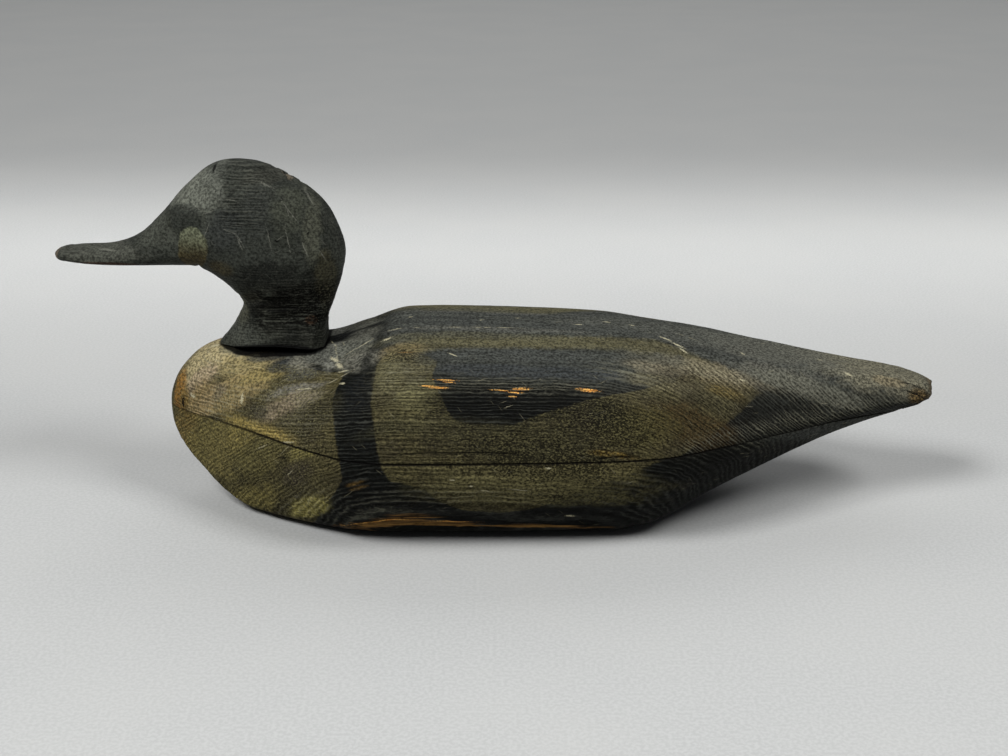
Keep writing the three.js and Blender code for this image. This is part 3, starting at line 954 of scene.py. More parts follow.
rot = smooth(long, 170, 190) * (0.35 + 0.65 * smooth(size, 8, 16))
relief -= rot * (0.4 + 0.8 * np.abs(cloud(skin, (4, 2.2, 1.4), 47)) + 0.4 * cloud(skin, (8, 5, 3), 48))
relief *= smooth(x, x[0], x[0] + 1.5)[:, None]

normal = outward(skin, np.array(UPPER_CENTRE))
carved = skin + normal * relief[..., None]
eaten = (0.5 + 0.5 * cloud(skin, (9, 3, 1.6), 49)) * smooth(long, TAIL_X - 4, TAIL_X)
carved[..., 0] -= END_GRAIN_LOSS * eaten
seat = (long < SEAT_BACK) & (long > SEAT_FRONT)
carved[..., 2] = np.where(seat, np.minimum(carved[..., 2], SEAT_HEIGHT), carved[..., 2])
carved[..., 2] = np.maximum(carved[..., 2], np.minimum(UPPER_JOINT, skin[..., 2]))
# Under the neck's foot the seat is painted near black: painted shade, seen through the chip's gap, kept
# in the layer of cuts.
along_neck = (long - NECK_MIDDLE) / NECK_HALF_LENGTH
full = 2.35 + 3.0 * smooth(long, -102, -90)
half = NECK_HALF_WIDTH * (1 + 0.13 * np.clip(along_neck, -1, 1))
under_neck = (np.abs(along_neck) ** full + np.abs(skin[..., 1] / half) ** full) ** (1 / full)
under_neck += 0.02 * cloud(skin, (4, 4, 4), 44)
cut = np.maximum(cut, 1 - smooth(under_neck, 0.985, 1.03))

upper_grid = close_at_joint(carved, JOINT_COLUMNS)
upper_layers = board_maps(skin, girth, ring, seam_gap, worn, cut,
                          UPPER_STAINS_AND_PAINTED_LIGHT, UPPER_RUBS_AND_GLINTS, UPPER_BARE, seam_tint=0.85)
print("upper board: rows", len(x), "columns", upper_grid.shape[1])

# %% [markdown]
# ## Lower board
#
# The lower board is the keel of the bird: the sides tuck under to a chine, and the flat foot stands
# on the table. It is carved and weathered like the upper one, and thins to a feather edge under the
# tail, where the underside cuts through the joint. There the knife left it smoother.

# %% Lower board
LOWER_JOINT = JOINT_HEIGHT - GAP / 2
FEATHER_END = 180.2
CHINE_GIRTH, CHINE_REACH = 134, 3.5
LOWER_RIDGE_HEIGHT, LOWER_CRUMBLE = 0.26, 0.14
LOWER_CENTRE = (0, 0, 44)

mid_rows = spread([-118.8, -84, -62, -48, 40, 60, 110, FEATHER_END],
                  [.62, .62, .8, 1.6, 1.6, .74, .64, .75])
x = np.concatenate([nose_rows(LOWER_NOSE_ROWS), mid_rows])
near = shares_of([0, 44, 52, 95], [.44, .55, 1.0, 4])
far = shares_of([0, 44, 52, 95], [.85, 1.1, 2, 5])
skin, girth, joint_girth = board_rings(x, near, far, LOWER_JOINT, upper=False)
size = np.abs(girth)
long = skin[..., 0]
seam_gap = size - joint_girth[:, None]

normal = outward(skin, np.array(LOWER_CENTRE))
ring = lower_rings(skin)
faces_down = smooth(-normal[..., 2], 0.6, 0.9)
worn = wear(skin, girth) * (1 - 0.75 * faces_down) * (1 - 0.55 * smooth(long, 58, 92))
smoother = 1 - 0.75 * np.clip(strongest(long, size, SPECKLED), 0, 1)
smoother *= 1 - 0.5 * smooth(long, 60, 95)
relief = ridges(skin, ring, LOWER_RIDGE_HEIGHT * worn * smoother, RIDGE_BASE, 50)
relief += 0.12 * worn * cloud(skin, (6, 1.8, 1.8), 51) + dents(skin, 53) * (1 - 0.6 * faces_down)
relief -= LOWER_CRUMBLE * (1 + cloud(skin, (7, 7, 7), 45)) * np.exp(-seam_gap / CRUMBLE_REACH)
chine = np.exp(-((size - CHINE_GIRTH) / CHINE_REACH) ** 2)
chine *= smooth(long, -90, -60) * (1 - smooth(long, 55, 75))
relief -= chine * (0.25 + 0.5 * np.abs(cloud(skin, (7, 3, 3), 57)))
relief *= (smooth(x, x[0], x[0] + 1.5) * (1 - smooth(x, FEATHER_END - 8, FEATHER_END)))[:, None]
carved = skin + normal * relief[..., None]
carved[..., 2] = np.clip(carved[..., 2], 0, LOWER_JOINT)

lower_grid = close_at_joint(carved, JOINT_COLUMNS)
lower_layers = board_maps(skin, girth, ring, seam_gap, worn, 0 * size,
                          LOWER_STAINS, LOWER_RUBS, LOWER_BARE, seam_tint=0.0)
print("lower board: rows", len(x), "columns", lower_grid.shape[1])

# %% [markdown]
# ## Head
#
# The head is lofted through ribs from the neck's foot, round the throat and out along the bill. A rib
# is a superellipse, which is squarer than an ellipse, as a whittled block stays. The near side, which
# shows, has more columns than the far one, and the bill's end closes in a quarter circle.

# %% Ribs of the head
SEAT_GAP = 0.3
NECK_FOOT = SEAT_HEIGHT + SEAT_GAP
HEAD_RIBS = np.array([  # throat x, throat height, crown x, crown height, half width
    [-126.3, NECK_FOOT, -78.5, NECK_FOOT, 17.5], [-121, 81, -78, 84.5, 17.2],
    [-117, 87.5, -74.2, 95, 17.8], [-114.5, 93.5, -70.5, 106, 19.5], [-116, 97, -69.2, 119, 21.5],
    [-118.3, 99.5, -76.8, 136.8, 22.8], [-121, 102.3, -91.3, 149.2, 23.2],
    [-125, 105.3, -107.5, 156, 22.6], [-129.5, 108.2, -124.3, 155.4, 21.2],
    [-135, 110.2, -138, 145.2, 18.6], [-142, 110.4, -148.3, 133.9, 15.4],
    [-151, 110.4, -160, 123.6, 13.2], [-166, 110.4, -172, 119.2, 11.8],
    [-181, 111, -182.5, 118.5, 11], [-190.5, 112.2, -190.5, 118.3, 9.6]])
BILL_END_LENGTH, HEAD_FULLNESS = 6.5, 2.35
CROWN_TAPER, TAPER_ENDS_AT_RIB = 0.15, 10
FOOT_BOXY, FOOT_FLARE = 3.0, 0.28  # the foot of the neck is squarer and wider at its back
CURVE_SAMPLES, NEAR_COLUMNS, FAR_COLUMNS, BILL_END_ROWS = 2001, 170, 94, 13
WIDEST_RIB = (22, 25)  # half width and half height, by which the columns are spaced evenly
BILL_END_OPEN = 0.08  # part of the bill's end left open for the end fan


def rib_at(s):
    """Rib at place s: neighbouring ribs joined by a Catmull-Rom curve, whose slope at a rib is half
    the difference of the ribs beside it."""
    last = len(HEAD_RIBS) - 1
    slope = np.gradient(HEAD_RIBS, axis=0)
    i = np.clip(np.floor(s).astype(int), 0, last - 1)
    t = (s - i)[:, None]
    start, end, leave, arrive = HEAD_RIBS[i], HEAD_RIBS[i + 1], slope[i], slope[i + 1]
    bend = 3 * (end - start) - 2 * leave - arrive + t * (2 * (start - end) + leave + arrive)
    return start + t * (leave + t * bend)


def squared(value):
    """Superellipse in place of a circle: sign(v) |v| ** (2 / fullness)."""
    return np.sign(value) * np.abs(value) ** (2 / HEAD_FULLNESS)


def head_rings(ribs, taper, angle):
    """Rings of points: angle 0 is the throat, half a turn the crown, and the near side comes first."""
    up = 0.5 - 0.5 * squared(np.cos(angle))[None]
    throat_x, throat_z, crown_x, crown_z, width = (column[:, None] for column in ribs.T)
    full = HEAD_FULLNESS + FOOT_BOXY * (1 - smooth(throat_z, 75, 92)) * smooth(up, 0.5, 0.75)
    across = np.sign(np.sin(angle)) * np.clip(1 - np.abs(2 * up - 1) ** full, 0, 1) ** (1 / full)
    y = -width * across * (1 - taper[:, None] * (2 * up - 1))
    return np.stack([throat_x + (crown_x - throat_x) * up, y, throat_z + (crown_z - throat_z) * up], -1)


along = np.linspace(0, len(HEAD_RIBS) - 1, CURVE_SAMPLES)
crown = rib_at(along)[:, 2:4]
length = np.concatenate([[0], np.cumsum(np.linalg.norm(np.diff(crown, axis=0), axis=1))])
places = spread([0, 30, 70, 110, length[-1] * 0.75, length[-1]], [.42, .52, .62, .5, .62, .7])
s = np.interp(places, length, along)
ribs = rib_at(s)
taper = CROWN_TAPER * np.clip(1 - s / TAPER_ENDS_AT_RIB, 0, 1)
taper -= FOOT_FLARE * np.clip(1 - s / 3, 0, 1)

turn = np.linspace(0, np.pi, CURVE_SAMPLES)
arc = np.stack([squared(np.sin(turn)), squared(np.cos(turn))], -1) * WIDEST_RIB
arc = np.concatenate([[0], np.cumsum(np.linalg.norm(np.diff(arc, axis=0), axis=1))])
near = np.interp(np.linspace(0, arc[-1], NEAR_COLUMNS), arc, turn)
far = 2 * np.pi - np.interp(np.linspace(arc[-1], 0, FAR_COLUMNS), arc, turn)[1:-1]
angle = np.concatenate([near, far])

close = np.linspace(0, math.acos(BILL_END_OPEN), BILL_END_ROWS + 1)[1:]
_, throat_z, _, crown_z, width = HEAD_RIBS[-1]
middle = (throat_z + crown_z) / 2
end_x = HEAD_RIBS[-1][0] - BILL_END_LENGTH * np.sin(close)
bill_end = np.stack([end_x, middle + (throat_z - middle) * np.cos(close), end_x,
                     middle + (crown_z - middle) * np.cos(close), width * np.cos(close)], -1)
head = head_rings(np.concatenate([ribs, bill_end]), np.concatenate([taper, 0 * close]), angle)
print("bare block of the head: rows", len(head), "columns", head.shape[1])

# %% [markdown]
# Then a knife takes flat facets off the block: a plane is pressed a little way into the surface, and
# everything beyond the plane drops onto it. Both sides get the same cuts.

# %% Knife facets of the head
KNIFE_CUTS = [  # centre (near side), reach, direction of the facet, depth
    ((-131, -15, 145), 20, (-.46, -.70, .55), 1.1), ((-137, -17, 129), 14, (-.40, -.90, -.10), 1.1),
    ((-117, -21, 130), 14, (-.16, -.98, .08), 1.0), ((-102, -22, 124), 17, (.06, -1, .04), .9),
    ((-88, -18, 134), 18, (.45, -.84, .30), 1.2), ((-94, -12, 147), 16, (.36, -.5, .79), .8),
    ((-108, -13, 151), 15, (.02, -.62, .79), .9), ((-80, -14, 112), 18, (.60, -.78, -.16), 1.1),
    ((-99, -17, 86), 16, (.02, -1, 0), .6), ((-118, -12, 86), 14, (-.72, -.66, .2), .8),
    ((-160, -12, 117), 26, (-.12, -.99, .08), .8), ((-178, -4, 119), 15, (-.2, -.05, .98), .3),
    ((-112, -19, 108), 14, (-.35, -.8, -.5), .8), ((-84, -9, 82), 12, (.8, -.6, 0), .6)]


def shave(points, centre, reach, direction, depth):
    """Knife facet: the plane across the direction is set the depth below the highest point near the
    centre, and what stands beyond it drops onto it: p - max(0, p.d - level) d."""
    direction = np.array(direction) / np.linalg.norm(direction)
    away = np.linalg.norm(points - np.array(centre), axis=-1)
    height = points @ direction
    level = height[away < reach * 0.6].max() - depth
    over = np.maximum(0, height - level) * (1 - smooth(away, reach * 0.8, reach))
    return points - over[..., None] * direction


shaved = head.copy()
for spot_centre, reach, direction, depth in KNIFE_CUTS:
    for side in (1, -1):
        flip = np.array([1, side, 1])
        shaved = shave(shaved, spot_centre * flip, reach, direction * flip, depth)
deepest = np.linalg.norm(shaved - head, axis=-1).max()
print(2 * len(KNIFE_CUTS), "facets, the deepest cut", round(float(deepest), 1), "mm")

# %% [markdown]
# The head's grain runs along the bill, so its rings lie nearly level. They stand out in a band behind
# the cheek and on the neck, and hardly anywhere else. A chip is missing from the crown, a groove
# crosses the near side of the neck, and a nick crosses the lower edge of the cheek.

# %% Grain, chip and nick of the head
HEAD_CENTRE, HEAD_RING_WIDTH = (-110, 0, 118), 1.3
HEAD_RIDGE_HEIGHT, HEAD_RIDGE_BASE = 0.2, 0.4
CROWN_CHIP, CHIP_REACH = (-93, 1), (5.5, 7)
GROOVE_PLACE, GROOVE_SLOPE, GROOVE_HALF_WIDTH, GROOVE_DEPTH = (-96, 94.6), 0.04, 0.7, 0.5
NICK_X, NICK_HALF_WIDTH, NICK_DEPTH = -132.5, 1.1, 0.9
TIP_WEAR = 0.3

x, y, z = np.moveaxis(head, -1, 0)
head_ring = uneven((z + 0.03 * x + 0.12 * y + wander(head, 61)) / HEAD_RING_WIDTH)
normal = outward(head, np.array(HEAD_CENTRE))
band = smooth(x, -121, -116) * (1 - smooth(x, -106, -98)) * smooth(z, 126, 134)
neck = 1 - smooth(z, 94, 102)
below_cheek = (1 - smooth(z, 104, 118)) * smooth(x, -122, -110)
worn = 0.08 + 0.75 * band + 0.3 * neck + 0.18 * below_cheek
worn += 0.12 * smooth(x, -95, -80) + 0.1 * (1 - smooth(x, -160, -148))
worn *= 0.7 + 0.3 * cloud(head, (14, 14, 6), 62)
relief = ridges(head, head_ring, HEAD_RIDGE_HEIGHT * worn, HEAD_RIDGE_BASE, 66)
relief += (0.05 + 0.2 * neck) * cloud(head, (7, 5, 1.6), 63) + 0.6 * dents(head, 65)
groove_height = GROOVE_PLACE[1] + GROOVE_SLOPE * (x - GROOVE_PLACE[0])
deep = np.exp(-((z - groove_height) / GROOVE_HALF_WIDTH) ** 2) * (y < 0)
deep *= smooth(x, -106, -100) * (1 - smooth(x, -90, -85))
relief -= GROOVE_DEPTH * deep
chip = soft_spot(x, y, CROWN_CHIP, CHIP_REACH) * (z > 140)
relief -= chip * (0.3 + 1.5 * smooth(cloud(head, (2.6, 2.6, 2.6), 67), -0.15, 0.1))
nick = np.exp(-((x - NICK_X) / NICK_HALF_WIDTH) ** 2) * (1 - smooth(z, 111.5, 114))
relief -= NICK_DEPTH * nick
relief -= TIP_WEAR * smooth(x, -188, -194) * np.abs(cloud(head, (2.5, 2.5, 2.5), 69))
row, last = np.arange(len(head)), len(head)
relief *= (smooth(row, 0, 3) * (1 - smooth(row, last - 5, last)))[:, None]
carved = shaved + normal * relief[..., None]
print("relief of the head:", round(float(relief.min()), 2), "to", round(float(relief.max()), 2), "mm")

# %% [markdown]
# The neck's foot stands on the seat, and a chip under its near side leaves a gap, whose underside is
# painted dark as painted shade. A few more rings close the foot from below, painted near black as shade.
# The head's paint areas are outlines on a plain side view.

# %% Foot of the neck, and the head's layers
CHIP_FROM, CHIP_TO, CHIP_RISE, CHIP_FADE_ROWS = -124, -76, 2.3, 4.0
CHEEK_PATCH = [(-135.4, 130.4), (-133, 131.6), (-130, 131.4), (-128, 129), (-126, 126), (-125.6, 122),
               (-126.8, 117), (-129.4, 113), (-133, 110), (-137, 110), (-139.6, 117), (-140, 122),
               (-138, 128)]
SHADED_FACETS = [  # facets painted darker as painted shade: the brow and the cheek behind the patch
    [(-142.3, 137.3), (-138.9, 140.9), (-132.4, 141.4), (-128, 138.7), (-126.3, 134.6), (-127.2, 131),
     (-134, 131.5), (-141.5, 130)],
    [(-125.9, 138), (-119.4, 140.4), (-112.9, 138.2), (-109.9, 132.7), (-110.7, 124.5), (-115, 120),
     (-121.5, 120.4), (-125.4, 124.5), (-126, 130.4)]]
# The forehead, which faces up to the lamps, is painted paler: painted light.
LIT_FOREHEAD = [(-145.4, 140.4), (-138.9, 149.6), (-130.2, 158), (-117.6, 160), (-117.8, 141),
            (-124.1, 137.6), (-128, 138.9), (-132.4, 141.8), (-138.9, 141.2), (-142.5, 138)]

foot = carved[0].copy()
across = smooth(-foot[:, 1], 4, 14)
along = np.clip((foot[:, 0] - CHIP_FROM) / (CHIP_TO - CHIP_FROM), 0, 1)
lift = CHIP_RISE * across * np.sin(np.pi * along) ** 1.4
fade = np.exp(-(np.arange(len(carved)) / CHIP_FADE_ROWS))[:, None]
carved[..., 2] += lift[None] * fade
carved[..., 2] = np.maximum(carved[..., 2], NECK_FOOT)
# The lifted underside of the chip is painted dark: painted shade in the gap.
foot_shade = smooth(lift[None] * fade, 0.1, 0.5) * np.ones(x.shape)
rim = carved[0]
inner = np.array([0.3, 0.65, 0.86, 0.95])[:, None, None]
centre = np.array([rim[:, 0].mean(), 0, NECK_FOOT])
floor_rings = centre + (rim - centre) * inner
floor_rings[..., 2] = NECK_FOOT + (rim[None, :, 2] - NECK_FOOT) * inner[..., 0] ** 6
head_grid = np.concatenate([floor_rings, carved])


def under_foot(values, fill):
    """A layer widened by the rings under the neck's foot."""
    return np.concatenate([np.full((len(floor_rings), *values.shape[1:]), float(fill)), values])


keep, add = smeared(head, x, z, HEAD_STAINS_AND_PAINTED_SHADE, 81)
head_layers = {
    "keep": under_foot(keep, 1), "stain": under_foot(add, 0),
    "ring": under_foot(head_ring, 0), "patch": under_foot(inside_by(x, z, CHEEK_PATCH), -50),
    "shaded_facets": under_foot(np.max([inside_by(x, z, outline) for outline in SHADED_FACETS], axis=0), -50),
    "lit_forehead": under_foot(inside_by(x, z, LIT_FOREHEAD), -50), "skin": under_foot(np.ones(x.shape), 0),
    # The layer of cuts darkens the groove and the nick, and holds painted shade in the chip's gap and
    # under the foot.
    "cut": under_foot(np.maximum(np.maximum(0.6 * deep, nick), foot_shade), 1),
    "chip": under_foot(chip, 0), "wear": under_foot(worn, 0)}
print("head: rows", len(head_grid), "columns", head_grid.shape[1])

# %% [markdown]
# ## Effects that the paints share
#
# Old paint is a few layers over wood, and the same accidents happen to each. Every accident is a node
# group with named sockets, built once and placed in each material with its own numbers: ridges that
# follow the growth rings, streaks along the grain, fine crackle, edges that fray, and hair scratches
# that lie anyhow. All of them count in millimetres.

# %% Node groups
bench, given, made = new_group(
    "ring_ridges", {"Ring": (FLOAT, 0), "Place": (VECTOR, (0, 0, 0)), "Broken": (FLOAT, 0.5)},
    {"Crest": FLOAT, "Valley": FLOAT})
crinkle = bench.noise(bench.vector("MULTIPLY", given["Place"], (0.28, 0.6, 0.6)), 1.0, 4.0, 0.65)
count = bench.sum("ADD", given["Ring"], bench.line(crinkle, 1.0, -0.5))
wave = bench.line(bench.sum("COSINE", bench.product(count, 2 * math.pi)), 0.5, 0.5)
layer = bench.add("ShaderNodeCombineXYZ", 0.0, bench.product(given["Ring"], 0.9)).outputs[0]
near_layer = bench.vector("ADD", bench.vector("MULTIPLY", given["Place"], (0.17, 0.17, 0.17)), layer)
dashes = bench.step(bench.noise(near_layer, 1.0, 4.0, 0.65), 0.4, 0.6)
kept = bench.sum("SUBTRACT", 1.0, bench.product(given["Broken"], bench.sum("SUBTRACT", 1.0, dashes)))
bench.feed(made["Crest"], bench.product(bench.sum("POWER", wave, 4.0), kept))
trough = bench.sum("POWER", bench.sum("SUBTRACT", 1.0, wave), 1.8)
bench.feed(made["Valley"], bench.product(trough, kept))
ring_ridges = bench.tree

bench, given, made = new_group(
    "grain_streaks", {"Place": (VECTOR, (0, 0, 0)), "Length": (FLOAT, 20), "Width": (FLOAT, 1)},
    {"Streak": FLOAT})
cell = bench.add("ShaderNodeCombineXYZ", given["Length"], given["Width"], given["Width"]).outputs[0]
scaled = bench.vector("DIVIDE", given["Place"], cell)
bench.feed(made["Streak"], bench.step(bench.noise(scaled, 1.0, 4.0, 0.6), 0.3, 0.7))
grain_streaks = bench.tree

bench, given, made = new_group(
    "crackle", {"Place": (VECTOR, (0, 0, 0)), "Amount": (FLOAT, 0.5)}, {"Pits": FLOAT, "Flecks": FLOAT})
grains = bench.noise(bench.vector("MULTIPLY", given["Place"], (1.0, 1.7, 1.7)), 1.0, 2.0, 0.7)
level = bench.line(given["Amount"], 0.24, 0.31)
bench.feed(made["Pits"], bench.step(bench.sum("SUBTRACT", grains, level), 0.035, -0.035))
bench.feed(made["Flecks"], bench.step(grains, 0.51, 0.68))
crackle = bench.tree

bench, given, made = new_group(
    "frayed_edge", {"Inside": (FLOAT, 0), "Place": (VECTOR, (0, 0, 0)), "Fray": (FLOAT, 1),
                    "Softness": (FLOAT, 0.4)}, {"Mask": FLOAT})
fray = bench.noise(bench.vector("MULTIPLY", given["Place"], (0.3, 0.7, 0.7)), 1.0, 5.0, 0.65)
shift = bench.product(bench.line(fray, 2.0, -1.0), given["Fray"])
distance = bench.sum("DIVIDE", bench.sum("ADD", given["Inside"], shift), given["Softness"])
bench.feed(made["Mask"], bench.step(distance, -1.0, 1.0))
frayed_edge = bench.tree

bench, given, made = new_group(
    "hair_scratches", {"Sheet": (VECTOR, (0, 0, 0)), "Turn": (FLOAT, 0), "Seed": (FLOAT, 0)},
    {"Mask": FLOAT})
offset = bench.add("ShaderNodeCombineXYZ", 0.0, 0.0, given["Seed"]).outputs[0]
moved = bench.vector("ADD", given["Sheet"], offset)
turned = bench.add("ShaderNodeVectorRotate", rotation_type="Z_AXIS")
for socket, value in (("Vector", moved), ("Angle", given["Turn"])):
    bench.feed(turned.inputs[socket], value)
hair = bench.noise(bench.vector("MULTIPLY", turned.outputs[0], (0.085, 1.5, 1.0)), 1.0, 1.0)
sparse = bench.noise(bench.vector("MULTIPLY", moved, (0.07, 0.07, 1.0)), 1.0, 2.0)
bench.feed(made["Mask"], bench.product(bench.step(hair, 0.70, 0.76), bench.step(sparse, 0.5, 0.6)))
hair_scratches = bench.tree
print("node groups:", ", ".join(group.name for group in bpy.data.node_groups))


# %% [markdown]
# ## Paint on the boards
#
# The recipe lays the coats in the order the painter did, and then does to them what time did. A few
# helpers come first. They lay the stains that the mesh carries, draw the marks of a table, and raise
# the finest relief as bump, because it is too small for the mesh.

# %% Helpers of the paint
FINE_DEPTH = 0.25  # mm that a height of 1 stands proud
BOARD_SHINE, HEAD_SHINE = 0.025, 0.03  # old paint mirrors hardly anything
MARK_REACH = 0.56  # of a mark's length, from its middle to its ragged end
FAR_FROM_MARKS = 9.0  # half widths, where no mark reaches


def in_millimetres(bench):
    """Object coordinates in mm."""
    return bench.scale(bench.add("ShaderNodeTexCoord").outputs["Object"], 1 / MM)


def stained(bench, colour, jitter):
    """Lays the stains of the mesh over the colour, colour * keep + stain, and lets a little of the
    paint below show through in fine grains."""
    stain_colour = bench.add("ShaderNodeAttribute", attribute_name="stain").outputs["Color"]
    laid = bench.vector("ADD", bench.scale(colour, bench.attribute("keep")), stain_colour)
    return bench.blend(bench.line(jitter, -0.5, 0.4, clamp=True), laid, colour)


def any_mark(bench, sheet, ragged, marks):
    """Mask of a table of marks: start, end and half width in mm on a flat sheet. Each mark is an
    ellipse round its middle, a little longer than the mark and twice the half width across. The
    sheet is moved, turned and scaled until the ellipse is the unit circle, so its distance is a
    length, and the least distance of all is cut off at a ragged edge."""
    least = FAR_FROM_MARKS
    for start, end, half_width in marks:
        run = np.subtract(end, start)
        middle = (*np.add(start, end) / 2, 0)
        unit = bench.add("ShaderNodeMapping", sheet, middle, vector_type="TEXTURE")
        unit.inputs["Rotation"].default_value = (0, 0, math.atan2(run[1], run[0]))
        unit.inputs["Scale"].default_value = (np.hypot(*run) * MARK_REACH + half_width, half_width, 1)
        least = bench.sum("MINIMUM", least, bench.vector("LENGTH", unit.outputs[0], out=1))
    return bench.step(bench.sum("ADD", least, ragged), 1.35, 0.55)


def raise_grain(bench, shader, height, strength):
    """Bump on the shader, from a height of 0 to 1."""
    bump = bench.add("ShaderNodeBump")
    bump.inputs["Strength"].default_value = strength
    bump.inputs["Distance"].default_value = FINE_DEPTH * MM
    bench.feed(bump.inputs["Height"], height)
    bench.feed(shader.inputs["Normal"], bump.outputs[0])


print("finest relief:", FINE_DEPTH, "mm")


# %% [markdown]
# Every coat asks the same questions of a point: which paint should cover it, how worn is it, and does
# it lie on a ridge or in a valley of the grain? The mesh's layers answer some of them, and the node
# groups work out the rest. All are read once and kept together under short names.

# %% What the boards' coats read
BOARD_LAYERS = ("ring", "girth", "olive", "seam", "skin", "cut", "wear", "rubbed", "bare", "speckled")


def read_board(bench):
    """The mesh's layers, the place in mm and the patterns worked out from them, each by its name."""
    at = SimpleNamespace(place=in_millimetres(bench))
    for layer in BOARD_LAYERS:
        setattr(at, layer, bench.attribute(layer))
    at.x = bench.add("ShaderNodeSeparateXYZ", at.place).outputs[0]
    at.jitter = bench.noise(at.place, 0.9, 4.0, 0.6)
    rattled = bench.line(at.jitter, 1.2, -0.6)
    near = bench.line(at.girth, -1.0, bench.product(rattled, 0.5))
    at.sheet = bench.add("ShaderNodeCombineXYZ", bench.sum("ADD", at.x, rattled), near).outputs[0]
    at.ragged = bench.line(bench.noise(at.place, 1.6, 3.0, 0.6), 3.0, -1.3)
    lined = bench.line(at.speckled, -0.85, 1.0, clamp=True)
    ridges_here = bench.use(ring_ridges, Ring=at.ring, Place=at.place, Broken=0.75).outputs
    at.high, at.low = (bench.product(value, lined) for value in ridges_here)
    at.size = bench.sum("ABSOLUTE", at.girth)
    at.long_streak = bench.use(grain_streaks, Place=at.place, Length=34.0, Width=1.1).outputs[0]
    at.fine_streak = bench.use(grain_streaks, Place=at.place, Length=5.0, Width=0.45).outputs[0]
    at.mottle = bench.step(bench.noise(at.place, 0.07, 4.0, 0.6), 0.35, 0.68)
    blurred = bench.product(bench.step(at.size, 46.0, 34.0), bench.step(at.x, -54.0, -38.0))
    at.green = bench.use(frayed_edge, Inside=at.olive, Place=at.place,
                         Fray=bench.line(blurred, 2.2, 1.0),
                         Softness=bench.line(blurred, 1.6, 0.5)).outputs[0]
    cracked = bench.sum("ADD", at.speckled, bench.line(at.mottle, 0.4, -0.25))
    at.pits, at.flecks = bench.use(crackle, Place=at.place, Amount=cracked).outputs
    at.breast = bench.step(at.x, -64.0, -84.0)
    soft = bench.sum("MAXIMUM", at.green, bench.step(at.x, 176.0, 188.0))
    at.pitted = bench.product(at.pits, bench.line(soft, 0.6, 0.2), bench.line(at.breast, -0.6, 1.0))
    peeled = bench.sum("ADD", at.bare, bench.line(at.long_streak, 0.5, -0.35))
    at.peeled = bench.product(bench.step(peeled, 0.35, 0.62), at.skin)
    return at


print("layers read:", ", ".join(BOARD_LAYERS))


# %% [markdown]
# Black comes first and olive over it, inside the outlines. A dull grey film lies where the wood isn't
# worn, as on the deck: bloom of the old paint, and painted sheen of the light on the up-facing deck.
# After the stains come the fine grains, the pits, the dark valleys and the rubbed crests of the grain,
# some of them painted pale as glints of the light, and the bare wood where the paint is gone. Some
# coats get a little lighter or darker with the streaks, since brushed paint is never of one thickness.

# %% Coats of the boards, and their weathering
def board_coats(bench, at):
    """Black, the olive over it and the dull grey film, which is bloom of old paint and painted sheen."""
    black = bench.blend(at.long_streak, "040505", "0d0f0f")
    black = bench.blend(bench.product(at.fine_streak, at.mottle, 0.3), black, "1b1d1b")
    olive = bench.blend(at.mottle, "29251a", "3d3823")
    olive = bench.blend(bench.product(at.long_streak, 0.4), olive, "242112")
    colour = bench.blend(at.green, black, olive)
    # The grey film is bloom of old paint and painted sheen of the light on the up-facing deck.
    film_and_sheen = bench.product(bench.sum("SUBTRACT", 1.0, at.wear), bench.line(at.jitter, 0.7, 0.45))
    film_and_sheen = bench.product(film_and_sheen, bench.step(at.x, -56.0, -44.0), bench.step(at.size, 66.0, 50.0))
    streak = bench.use(grain_streaks, Place=at.place, Length=60.0, Width=2.6).outputs[0]
    colour = bench.blend(bench.product(film_and_sheen, bench.line(at.long_streak, -0.35, 1.0)), colour,
                         bench.blend(at.green, "4f514b", "575441"))
    return bench.blend(bench.product(film_and_sheen, streak, 0.75), colour, "16181a")


def weathered(bench, at, colour):
    """Grains, pits, valleys, crests, flecks, painted glints and bare wood over the coats."""
    colour = bench.scale(colour, bench.line(bench.step(at.jitter, 0.36, 0.64), 1.18, 0.42))
    dust = bench.product(at.fine_streak, bench.line(at.green, 0.13, 0.03))
    colour = bench.blend(dust, colour, "57533f")
    before = bench.blend(at.pitted, colour, "0f0e0a")
    valley = bench.product(at.low, bench.line(at.wear, 0.8, 0.06))
    colour = bench.blend(valley, before, "060604")
    rub = bench.product(at.high, at.wear, bench.line(at.mottle, 0.5, 0.4))
    colour = bench.blend(rub, colour, bench.blend(at.green, "3a3b36", bench.scale(before, 2.8)))
    specks = bench.line(at.breast, 0.25, bench.step(at.x, 74.0, 56.0, 0.15, 0.32))
    colour = bench.blend(bench.product(at.flecks, at.green, specks), colour, "79734f")
    # Crests whiten where the tables of rubs say: worn paint, and painted glints of light on the ridges
    # of the shoulder and rear flank.
    white = bench.sum("MAXIMUM", at.high, bench.product(at.flecks, 0.4))
    colour = bench.blend(bench.product(at.rubbed, white, 0.8), colour, "85836f")
    wood = bench.blend(at.long_streak, "3a2b1b", "806035")
    wood = bench.blend(bench.product(at.low, 0.85), wood, "140e08")
    return bench.blend(bench.product(at.peeled, bench.line(at.pits, -0.6, 1.0)), colour, wood)


print("coats: black, olive, film, stains, grain, bare wood")


# %% [markdown]
# Last come the marks of the tables, hair scratches in two directions, and the dark line of the joint.
# The two boards differ only in their stains and marks, so one function paints both. Black paint
# keeps a little more of its shine than olive, and bare wood is the dullest.

